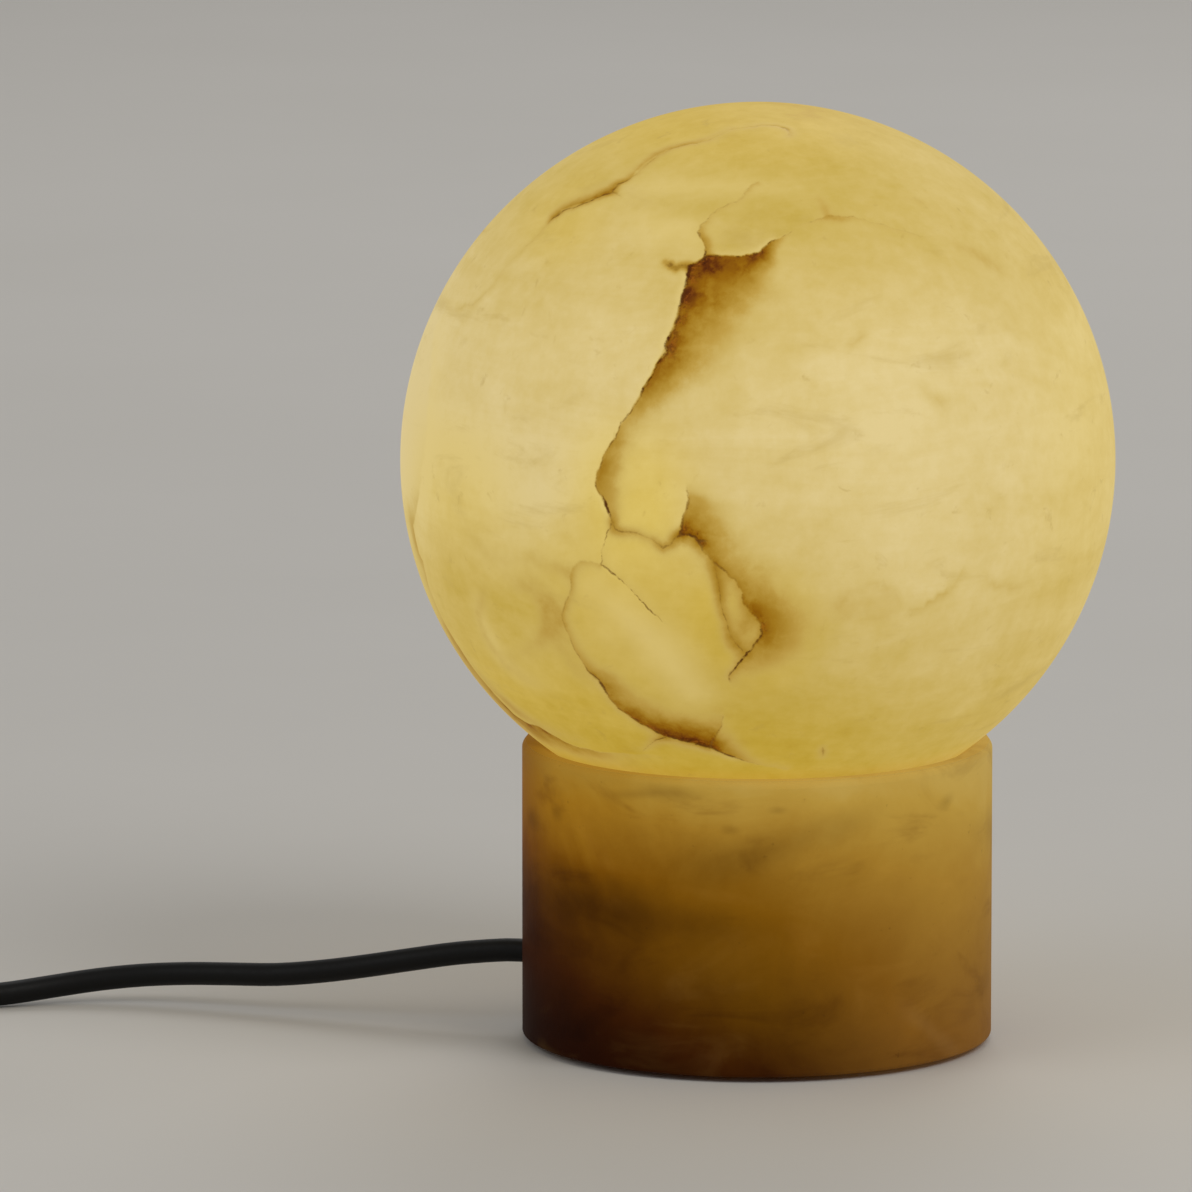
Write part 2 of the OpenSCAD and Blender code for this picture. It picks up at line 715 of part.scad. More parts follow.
// The strap lies flat around the coil's bundle, across its turns
module cord_tie() {
    inner = coil_in_r - cord_r - 1;
    outer = coil_out_r + cord_r + 1;
    low = coil_z - cord_r - 0.3;
    high = coil_z + coil_pitch + cord_r + 0.3;
    color("#2b2a28") translate([coil_x, coil_y, 0]) rotate([0, 0, tie_angle])
        translate([(inner + outer) / 2, tie_w / 2, (low + high) / 2]) rotate([90, 0, 0])
            linear_extrude(tie_w) difference() {
                rounded_rect(outer - inner + 2 * tie_t, high - low + 2 * tie_t, 3);
                rounded_rect(outer - inner, high - low, 2.2);
            }
}

module at_switch() {
    translate([switch_x, switch_y, 0]) children();
}

module switch_outline() {
    intersection() {
        linear_extrude(switch_h) rounded_rect(switch_l, switch_w, 7);
        translate([0, switch_w, switch_h / 2]) rotate([90, 0, 0])
            linear_extrude(2 * switch_w) rounded_rect(switch_l, switch_h, 4);
        translate([-switch_l, 0, switch_h / 2]) rotate([90, 0, 90])
            linear_extrude(2 * switch_l) rounded_rect(switch_w, switch_h, 5);
    }
}

// The housing's hollow and the necks of its two cord outlets
module switch_hollow() {
    translate([0, 0, switch_wall]) linear_extrude(switch_h - 2 * switch_wall)
        rounded_rect(switch_l - 2 * switch_wall, switch_w - 2 * switch_wall, 5);
    translate([-switch_l, 0, switch_z]) rotate([0, 90, 0]) cylinder(r = neck_r + fit, h = 2 * switch_l);
}

module at_bosses() {
    for (s = [-1, 1]) translate([s * boss_x, -s * boss_y, 0]) children();
}

module switch_lower() {
    color("#1f1e1d") at_switch() difference() {
        union() {
            difference() {
                switch_outline();
                switch_hollow();
            }
            at_bosses() translate([0, 0, 1]) cylinder(r = boss_r, h = switch_z - 1);
        }
        translate([-switch_l, -switch_w, switch_z]) cube([2 * switch_l, 2 * switch_w, switch_h]);
        at_bosses() {
            translate([0, 0, -1]) cylinder(r = screw_d / 2 + loose, h = switch_h);
            translate([0, 0, -1]) cylinder(r = boss_head_d / 2 + loose, h = 3.2);
        }
    }
}

module switch_upper() {
    lug_w = 2.4;
    lug_y = rocker_w / 2 + rocker_gap;
    color("#1f1e1d") at_switch() difference() {
        union() {
            difference() {
                switch_outline();
                switch_hollow();
            }
            at_bosses() translate([0, 0, switch_z]) cylinder(r = boss_r, h = switch_z - 1);
            for (s = [-1, 1]) translate([-3, s > 0 ? lug_y : -lug_y - lug_w, rocker_z - 2.8])
                cube([6, lug_w, switch_h - rocker_z + 1.8]);
        }
        translate([-switch_l, -switch_w, -1]) cube([2 * switch_l, 2 * switch_w, switch_z + 1]);
        translate([-rocker_r - rocker_gap, -lug_y, switch_z + 1])
            cube([2 * (rocker_r + rocker_gap), 2 * lug_y, switch_h]);
        translate([0, switch_w, rocker_z]) rotate([90, 0, 0])
            cylinder(d = pivot_d + 2 * fit, h = 2 * switch_w - (switch_w - 2 * lug_y - 2 * lug_w) / 2);
        at_bosses() translate([0, 0, switch_z - 1]) cylinder(r = screw_d / 2 + fit, h = 6.5);
    }
}

module switch_sleeves() {
    face = switch_l / 2;
    ribs = 5;
    step = sleeve_l / ribs;
    outline = concat(
        [[cord_r + 0.15, face - switch_wall - flange_t], [flange_r, face - switch_wall - flange_t],
            [flange_r, face - switch_wall - 0.1], [neck_r, face - switch_wall - 0.1],
            [neck_r, face + 0.1], [sleeve_r, face + 0.1]],
        [for (i = [1 : ribs]) let (r = sleeve_r + (sleeve_tip_r - sleeve_r) * i / ribs, z = face + i * step)
            each [[r, z - 1.4], [r - 0.5, z - 1.2], [r - 0.5, z - 0.5], [r, z - 0.3]]],
        [[cord_r + 0.15, face + sleeve_l - 0.3]]);
    color("#1d1c1b") at_switch() for (a = [0, 180]) translate([0, 0, switch_z]) rotate([0, 0, a])
        rotate([0, 90, 0]) rotate_extrude() polygon(outline);
}

module switch_screws() {
    color("#b9babc") at_switch() at_bosses() translate([0, 0, 2.2]) screw(screw_d, 10.5, boss_head_d, 1.9);
}

module switch_contacts() {
    color("#c9a24a") at_switch() for (s = [-1, 1]) {
        translate([s * pole_x - pole_l / 2, -7.8, switch_wall]) cube([pole_l, 5.2, pole_h]);
        translate([s > 0 ? 3.5 : pole_l / 2 - pole_x, -7, switch_wall + pole_h - 1.2])
            cube([pole_x - pole_l / 2 - 3.5, 3.5, 0.6]);
        translate([s * pole_x, -5.2, switch_wall + pole_h]) cylinder(d = 3.4, h = 0.8);
    }
}

// The uncut core passes under the rocker, and the cut core ends at the two terminals
module switch_wires() {
    z = switch_wall + core_r + 0.4;
    color("#6d5536") at_switch() {
        swept([[cord_stop, 1.6, switch_z], [cord_stop - 1, 1.6, switch_z], [14, 4.4, z + 1.2],
            [7, 6, z], [-7, 6, z], [-14, 4.4, z + 1.2], [1 - cord_stop, 1.6, switch_z],
            [-cord_stop, 1.6, switch_z]], core_r, 8);
        for (s = [-1, 1])
            swept([[s * cord_stop, -1.6, switch_z], [s * (cord_stop - 0.8), -1.6, switch_z],
                [s * (pole_x + pole_l / 2 + 0.9), -4.6, switch_z - 3.2],
                [s * (pole_x + pole_l / 2), -4.6, switch_z - 3.2]], core_r, 8);
    }
}

// The rocker's ends are arcs about its pivot, so that its gap stays the same as it tips
module switch_rocker() {
    top = switch_h - rocker_z;
    color("#2a2927") at_switch() translate([0, 0, rocker_z]) rotate([0, -rocker_tilt, 0]) {
        rotate([90, 0, 0]) translate([0, 0, -rocker_w / 2]) linear_extrude(rocker_w)
            difference() {
                intersection() {
                    circle(rocker_r);
                    polygon([[-rocker_l, -2], [rocker_l, -2], [rocker_l, top + 4], [rocker_r, top + 2],
                        [0, top + 0.5], [-rocker_r, top + 2], [-rocker_l, top + 4]]);
                }
                for (s = [-1, 1]) translate([s * 5.8, -1.1]) square([7, 2.2], center = true);
            }
        for (s = [-1, 1]) translate([0, s * (rocker_w / 2 + pivot_l / 2), 0]) rotate([90, 0, 0])
            translate([0, 0, -pivot_l / 2]) cylinder(d = pivot_d, h = pivot_l);
    }
}

module at_plug() {
    translate([plug_x, coil_end[1], plug_h / 2]) children();
}

module plug_body() {
    half = plug_w / 2;
    ribs = 6;
    step = relief_l / ribs;
    relief = concat([[0, -1], [relief_r, -1]],
        [for (i = [1 : ribs]) let (r = relief_r + (relief_tip_r - relief_r) * i / ribs, z = i * step)
            each [[r, z - 1.6], [r - 0.6, z - 1.4], [r - 0.6, z - 0.6], [r, z - 0.4]]],
        [[relief_tip_r, relief_l], [0, relief_l]]);
    color("#1f1e1d") at_plug() difference() {
        union() {
            intersection() {
                translate([0, 0, -plug_h / 2]) linear_extrude(plug_h) polygon([
                    [0, -half + 2], [-1.5, -half + 0.4], [-11, -half], [-15, -half + 0.8], [-19, -half + 4.2],
                    [-25, -half + 8.2], [-plug_l, -half + 10.6], [-plug_l, half - 10.6], [-25, half - 8.2],
                    [-19, half - 4.2], [-15, half - 0.8], [-11, half], [-1.5, half - 0.4], [0, half - 2]]);
                rotate([90, 0, 90]) translate([0, 0, -plug_l - 1]) linear_extrude(plug_l + 2) polygon([
                    [-half, -3], [-half + 0.8, -4.6], [-half + 6.5, -plug_h / 2], [half - 6.5, -plug_h / 2],
                    [half - 0.8, -4.6], [half, -3], [half, 3], [half - 0.8, 4.6],
                    [half - 6.5, plug_h / 2], [-half + 6.5, plug_h / 2], [-half + 0.8, 4.6], [-half, 3]]);
            }
            translate([-plug_l, 0, 0]) rotate([0, -90, 0]) rotate_extrude() polygon(relief);
        }
        for (s = [-1, 1]) translate([-plug_root_l, s * plug_pitch / 2, 0]) rotate([0, 90, 0])
            cylinder(d = plug_root_d + 2 * fit, h = plug_l);
    }
}

module plug_pins() {
    r = plug_pin_d / 2;
    color("#c9c6bd") at_plug() for (s = [-1, 1]) translate([0, s * plug_pitch / 2, 0]) rotate([0, 90, 0]) {
        translate([0, 0, 0.1 - plug_root_l]) cylinder(d = plug_root_d, h = plug_root_l + plug_pin_l - bared_l);
        translate([0, 0, plug_pin_l - bared_l]) cylinder(r = r, h = bared_l - r);
        translate([0, 0, plug_pin_l - r]) sphere(r);
    }
}

module pin_sleeves() {
    color("#1f1e1d") at_plug() for (s = [-1, 1]) translate([0, s * plug_pitch / 2, 0]) rotate([0, 90, 0])
        tube_between(plug_root_d / 2 + fit, plug_pin_d / 2 - pin_step, 0, plug_pin_l - bared_l);
}

// Least gap between the coil's turns, and the cord's length
apart = coil_rings / 2;
coil_gap = min([for (i = [0 : len(coil_path) - 1 - apart], j = [i + apart : len(coil_path) - 1])
    norm(coil_path[i] - coil_path[j])]) - cord_d;
echo(coil_gap = coil_gap, outside = 2 * (coil_out_r + cord_r), in_r = coil_in_r);
echo(run_a = length_of(run_a_path), run_b = length_of(run_b_path), tail = length_of(tail_path),
    coil = length_of(coil_path), coil_start = coil_start, coil_end = coil_end);
echo(globe_z = globe_z, globe_z0 = globe_z0, plate_z0 = plate_z0, chamber_z1 = chamber_z1,
    bulb_z0 = bulb_z0, holder_z1 = holder_z1, cup_z0 = cup_z0, tube = [tube_z0, tube_z1]);

globe();
base();
seat_ring();
top_plate();
stem_sleeve();
threaded_tube();
tube_nuts();
tube_washer();
holder_cup();
holder_bracket();
holder_screws();
holder_body();
holder_contacts();
holder_wires();
bulb_pins();
bulb_base();
bulb_board();
bulb_leds();
bulb_cover();
chamber_plate();
cord_inner();
supply_wires();
cord_grommet();
clamp_block();
clamp_saddle();
clamp_screws();
terminal_block();
terminal_sleeves();
terminal_screws();
bottom_cover();
cover_screws();
cover_inserts();
rubber_feet();
cord_run_a();
switch_lower();
switch_upper();
switch_sleeves();
switch_screws();
switch_contacts();
switch_wires();
switch_rocker();
cord_run_b();
cord_coil();
cord_tie();
cord_tail();
plug_body();
plug_pins();
pin_sleeves();
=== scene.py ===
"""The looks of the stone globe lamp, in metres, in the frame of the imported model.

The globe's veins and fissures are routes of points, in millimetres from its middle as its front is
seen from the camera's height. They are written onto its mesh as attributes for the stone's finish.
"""

import math
import random

import bpy
import numpy as np
from mathutils import Matrix, Vector


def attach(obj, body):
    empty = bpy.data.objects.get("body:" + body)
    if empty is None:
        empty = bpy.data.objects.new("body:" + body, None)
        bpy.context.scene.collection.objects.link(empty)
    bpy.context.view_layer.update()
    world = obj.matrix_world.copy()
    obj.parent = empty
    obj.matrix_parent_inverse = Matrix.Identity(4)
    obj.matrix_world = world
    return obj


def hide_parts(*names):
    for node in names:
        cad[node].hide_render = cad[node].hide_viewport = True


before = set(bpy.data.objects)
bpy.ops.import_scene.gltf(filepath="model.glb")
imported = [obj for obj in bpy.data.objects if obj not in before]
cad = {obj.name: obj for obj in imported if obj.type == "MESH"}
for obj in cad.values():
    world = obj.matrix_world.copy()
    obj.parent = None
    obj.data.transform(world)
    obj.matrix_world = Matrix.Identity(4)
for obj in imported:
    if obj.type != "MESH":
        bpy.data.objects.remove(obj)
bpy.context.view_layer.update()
MM = 0.001

# Named sizes, in millimetres
GLOBE_R = 100
GLOBE_WALL = 8
GLOBE_Z = 164.623
MOUTH_R = 34
LIP_R = 37.7
LIP_CHAMFER = 1.2
FISSURE_DEPTH = 0.35
FINEST = 0.7
BASE_R = 66
BULB_Z = 164.6
CORD_D = 6.6

EYE_TILT = math.radians(9.7)


def alone(*objects):
    """Only these objects are selected, and the first is active."""
    if bpy.context.object and bpy.context.object.mode != "OBJECT":
        bpy.ops.object.mode_set(mode="OBJECT")
    bpy.ops.object.select_all(action="DESELECT")
    for o in objects:
        o.select_set(True)
    bpy.context.view_layer.objects.active = objects[0] if objects else None


def edit(kind="FACE", select="DESELECT"):
    """Into edit mode, with all or nothing selected."""
    bpy.ops.object.mode_set(mode="EDIT")
    bpy.ops.mesh.select_mode(type=kind)
    bpy.ops.mesh.select_all(action=select)


def end_edit():
    bpy.ops.object.mode_set(mode="OBJECT")


def apply_place():
    bpy.ops.object.transform_apply(location=True, rotation=True, scale=True)


# Camera
bpy.ops.object.camera_add(location=(-0.04525, -3.9428, 0.7998), rotation=(math.pi / 2 - EYE_TILT, 0, 0))
camera = bpy.context.object
camera.data.sensor_width = 36
camera.data.lens = 431.15
camera.data.clip_end = 60
bpy.context.scene.camera = camera
bpy.context.scene.view_settings.view_transform = "Standard"


# Cords
def smooth_route(points, step):
    """Points of a smooth curve through the given ones, about step apart."""
    p = [Vector(q) for q in points]
    p = [2 * p[0] - p[1]] + p + [2 * p[-1] - p[-2]]
    route = []
    for a, b, c, d in zip(p, p[1:], p[2:], p[3:]):
        n = max(1, round((c - b).length / step))
        for k in range(n):
            t = k / n
            at = 2 * b + (c - a) * t + (2 * a - 5 * b + 4 * c - d) * t * t
            route.append(0.5 * (at + (3 * b - a - 3 * c + d) * t**3))
    return route + [p[-2]]


def length_of(points):
    return sum((b - a).length for a, b in zip(points, points[1:])) * MM


def cord_piece(name, points):
    curve = bpy.data.curves.new(name, "CURVE")
    curve.dimensions = "3D"
    spline = curve.splines.new("POLY")
    spline.points.add(len(points) - 1)
    for point, at in zip(spline.points, points):
        point.co = (*(at * MM), 1)
    curve.bevel_depth = CORD_D / 2 * MM
    curve.bevel_resolution = 5
    curve.use_fill_caps = True
    piece = bpy.data.objects.new(name, curve)
    bpy.context.scene.collection.objects.link(piece)
    alone(piece)
    bpy.ops.object.convert(target="MESH")
    bpy.ops.object.shade_smooth_by_angle(angle=math.radians(50))
    return piece


# Where the cord leaves the base, and the switch's middle with its distance to where the cord enters it
OUTLET_TURN, OUTLET_Z = math.radians(14), 21.4
OUTLET_WAY = Vector((-math.cos(OUTLET_TURN), math.sin(OUTLET_TURN), 0))
OUTLET = BASE_R * OUTLET_WAY + Vector((0, 0, OUTLET_Z))
SWITCH = Vector((-311, 33.5, 8.5))
CORD_STOP = Vector((19.5, 0, 0))
lamp_route = [OUTLET, OUTLET + CORD_D * OUTLET_WAY] + [
    (-84, 21, 19.8), (-97, 24.3, 17.4), (-110, 27.8, 14.8), (-123, 31.8, 12.4), (-136, 36.2, 10.6),
    (-149, 41, 9.8), (-161, 45.2, 9.1), (-174, 48, 8.1), (-187, 48.6, 6.7), (-200, 46.6, 5.1), (-212, 43, 3.9),
    (-224, 39, 3.5), (-236, 35.8, 4), (-248, 34.1, 6.1), (-258, 33.5, 8), (-265, 33.5, 8.5), (-278, 33.5, 8.5),
    SWITCH + CORD_STOP]

COIL_AT = Vector((-344, -38, 4.4))
COIL_TURNS, COIL_MID_R, COIL_PITCH, COIL_EASE = 6.25, 38, 7.3, 0.1


def coil_point(t):
    """A point of the coil after t turns: it spirals in on the table and out again on top of that."""
    mid = COIL_TURNS / 2
    eased = math.hypot(t - mid, COIL_EASE) - COIL_EASE
    r = COIL_MID_R - mid * COIL_PITCH / 2 + COIL_PITCH * eased
    u = min(1, max(0, (t - mid) * 2 + 0.5))
    a = math.radians(180 + 360 * t)
    return COIL_AT + Vector((r * math.cos(a), r * math.sin(a), COIL_PITCH * u * u * (3 - 2 * u)))


coil_start, coil_end = coil_point(0), coil_point(COIL_TURNS)
PLUG_X, PLUG_L, RELIEF_L, PLUG_H = -246, 32, 24, 13.7
plug_way = Vector((PLUG_X - PLUG_L - RELIEF_L, coil_end.y, PLUG_H / 2))
before_coil = [SWITCH - CORD_STOP, (-345, 33.5, 8.5), (-358, 33.5, 8.5), (-365, 33.2, 8.4), (-377, 28.7, 7.7),
               (-386, 19.6, 6.6), (-391, 8, 5.5), (-392.5, -4, 4.7), coil_start + Vector((0, 3 * CORD_D, 0)),
               coil_start + Vector((0, CORD_D, 0)), coil_start]
after_coil = [coil_end, coil_end + Vector((CORD_D, 0, 0)), coil_end + Vector((1.8 * CORD_D, 0, 0)),
              (-326, coil_end.y, 11.1), (-319.7, coil_end.y, 9.3), (-313.5, coil_end.y, 7.4),
              plug_way - Vector((0.8 * CORD_D, 0, 0)), plug_way]
coil_route = [coil_point(i / 40) for i in range(1, round(COIL_TURNS * 40))]
lamp_points = smooth_route(lamp_route, 4)
plug_points = smooth_route(before_coil, 4) + coil_route + smooth_route(after_coil, 3)
cord_lamp = cord_piece("cord_lamp", lamp_points)
cord_plug = cord_piece("cord_plug", plug_points)
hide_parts("cord_run_a")
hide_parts("cord_run_b", "cord_coil", "cord_tail")

# The coil's strap: its thickness and width, the gap between its lapped ends, its slack, and its turn
# in degrees
STRAP_T, STRAP_W, LAP_GAP, STRAP_SLACK, STRAP_TURN = 0.8, 5, 0.06, 0.1, 50


def strap_path():
    """The strap's middle line, as radius from the coil's middle and height over its lower strands: from under
    its lapped end on top, once round the strands, and over its own start."""
    strands = [coil_point((180 + STRAP_TURN) / 360 + k) - COIL_AT for k in range(math.floor(COIL_TURNS))]
    radii = [math.hypot(strand.x, strand.y) for strand in strands]
    inner, outer = min(radii), max(radii)
    clear = (CORD_D + STRAP_T) / 2 + STRAP_SLACK
    path = [(outer - 3, COIL_PITCH + clear)]
    for r, z, turn in ((inner, COIL_PITCH, 90), (inner, 0, 180), (outer, 0, 270), (outer, COIL_PITCH, 360)):
        for k in range(7):
            a = math.radians(turn + 15 * k)
            out = clear + (STRAP_T * k / 6 if turn == 360 else 0)
            path.append((r + out * math.cos(a), z + out * math.sin(a)))
    return path + [(inner + 4, COIL_PITCH + clear + STRAP_T)]


def build_strap():
    """A woven strap drawn tight round the coil, extruded along its path and then given its thickness."""
    path = [Vector((r, 0, z)) * MM for r, z in strap_path()]
    first = (path[0] + path[1]) / 2
    alone()
    bpy.ops.mesh.primitive_plane_add(size=1, location=first)
    strap = bpy.context.object
    strap.name = "coil_strap"
    strap.scale = ((path[0] - path[1]).length, STRAP_W * MM, 1)
    apply_place()
    edit("EDGE")
    end_edit()
    for edge in strap.data.edges:
        edge.select = all(strap.data.vertices[v].co.x < first.x for v in edge.vertices)
    bpy.ops.object.mode_set(mode="EDIT")
    for a, b in zip(path[1:], path[2:]):
        bpy.ops.mesh.extrude_edges_move(TRANSFORM_OT_translate={"value": b - a})
    end_edit()
    strap.matrix_world = Matrix.Translation(COIL_AT * MM) @ Matrix.Rotation(math.radians(STRAP_TURN), 4, "Z")
    apply_place()
    wall = strap.modifiers.new("wall", "SOLIDIFY")
    wall.thickness, wall.offset = (STRAP_T - LAP_GAP) * MM, 0
    edges = strap.modifiers.new("edges", "BEVEL")
    edges.width, edges.segments, edges.angle_limit = 0.15 * MM, 2, math.radians(40)
    bpy.ops.object.modifier_apply(modifier="wall")
    bpy.ops.object.modifier_apply(modifier="edges")
    bpy.ops.object.shade_smooth_by_angle(angle=math.radians(40))
    return strap


strap = build_strap()
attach(strap, "lamp")
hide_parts("cord_tie")

for cord, points, end, lay, pieces in (
        (cord_lamp, lamp_points, "fitting", "loose", [
            "switch_lower", "switch_upper", "switch_sleeves", "switch_screws", "switch_contacts",
            "switch_wires", "switch_rocker"]),
        (cord_plug, plug_points, "plug", "coiled", [strap, "plug_body", "plug_pins", "pin_sleeves"])):
    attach(cord, "lamp")
    points[0] * MM
    length_of(points)
    [p * MM for p in points]


# Finishes
class Value:
    """A socket in a finish, with the sums that are used on it."""

    def __init__(self, finish, socket):
        self.finish, self.socket = finish, socket

    def sum(self, operation, *values):
        return self.finish.sum(operation, *values)

    def __add__(self, other):
        return self.sum("ADD", self, other)

    def __sub__(self, other):
        return self.sum("SUBTRACT", self, other)

    def __rsub__(self, other):
        return self.sum("SUBTRACT", other, self)

    def __mul__(self, other):
        return self.sum("MULTIPLY", self, other)

    def __truediv__(self, other):
        return self.sum("DIVIDE", self, other)

    def __pow__(self, other):
        return self.sum("POWER", self, other)

    def __abs__(self):
        return self.sum("ABSOLUTE", self)

    def under(self, other):
        return self.sum("MINIMUM", self, other)

    __radd__, __rmul__ = __add__, __mul__


def tint(text):
    """Linear colour of an sRGB hex code."""
    parts = [int(text[i:i + 2], 16) / 255 for i in (1, 3, 5)]
    return tuple(c / 12.92 if c <= 0.04045 else ((c + 0.055) / 1.055) ** 2.4 for c in parts) + (1,)


class Finish:
    """A material with a Principled shader, whose fixed values are set on the shader's own sockets."""

    def __init__(self, name, **fixed):
        self.material = bpy.data.materials.new(name)
        self.material.use_nodes = True
        self.nodes, self.links = self.material.node_tree.nodes, self.material.node_tree.links
        self.shader = self.nodes["Principled BSDF"]
        for key, value in fixed.items():
            self.feed(key.replace("_", " "), value)
        self.place = self.node("ShaderNodeTexCoord", output="Object")

    def put(self, socket, value):
        """Links a value to a socket, or sets a colour or number on it."""
        if isinstance(value, Value):
            self.links.new(value.socket, socket)
        else:
            socket.default_value = tint(value) if isinstance(value, str) else value

    def feed(self, name, value):
        self.put(self.shader.inputs[name], value)

    def node(self, kind, settings=None, inputs=None, output=0):
        node = self.nodes.new(kind)
        for key, value in (settings or {}).items():
            if key == "stops":
                elements = node.color_ramp.elements
                while len(elements) < len(value):
                    elements.new(0.5)
                for element, (at, colour) in zip(elements, value):
                    element.position = at
                    element.color = tint(colour) if isinstance(colour, str) else (colour,) * 3 + (1,)
            else:
                setattr(node, key, value)
        for key, value in (inputs or {}).items():
            self.put(node.inputs[key], value)
        return Value(self, node.outputs[output])

    def sum(self, operation, *values):
        return self.node("ShaderNodeMath", {"operation": operation}, dict(enumerate(values)))

    def vector(self, operation, a, b):
        return self.node("ShaderNodeVectorMath", {"operation": operation}, {0: a, 1: b})

    def axes(self, vector=None):
        split = self.node("ShaderNodeSeparateXYZ", None, {0: vector or self.place})
        return [Value(self, s) for s in split.socket.node.outputs]

    def noise(self, scale, detail=4, rough=0.55, at=None, stretch=None, warp=0):
        at = at or self.place
        if stretch:
            at = self.vector("MULTIPLY", at, stretch)
        return self.node("ShaderNodeTexNoise", None, {"Vector": at, "Scale": scale, "Detail": detail,
                                                      "Roughness": rough, "Distortion": warp})

    def waver(self, *noise, **more):
        """Noise that goes to either side of zero."""
        return self.noise(*noise, **more) - 0.5

    def fade(self, value, start, end, low=0.0, high=1.0):
        """Goes smoothly from low to high as value goes from start to end."""
        return self.node("ShaderNodeMapRange", {"interpolation_type": "SMOOTHSTEP"},
                         {0: value, 1: start, 2: end, 3: low, 4: high})

    def ramp(self, value, *stops):
        return self.node("ShaderNodeValToRGB", {"stops": stops}, {0: value})

    def mix(self, factor, a, b, blend="MIX"):
        """Goes from a to b, or from a to a times or plus b, as factor goes from 0 to 1."""
        return self.node("ShaderNodeMix", {"data_type": "RGBA", "blend_type": blend},
                         {0: factor, 6: a, 7: b}, 2)

    def drawn(self, name):
        return self.node("ShaderNodeAttribute", {"attribute_name": name}, output="Fac")

    def bump(self, height, depth):
        inputs = {"Strength": 1, "Distance": depth, "Height": height}
        self.feed("Normal", self.node("ShaderNodeBump", None, inputs))

    def on(self, *pieces):
        for piece in pieces:
            piece = cad[piece] if isinstance(piece, str) else piece
            data = piece.data
            if not data.materials:
                data.materials.append(self.material)
            for k in range(len(data.materials)):
                data.materials[k] = self.material
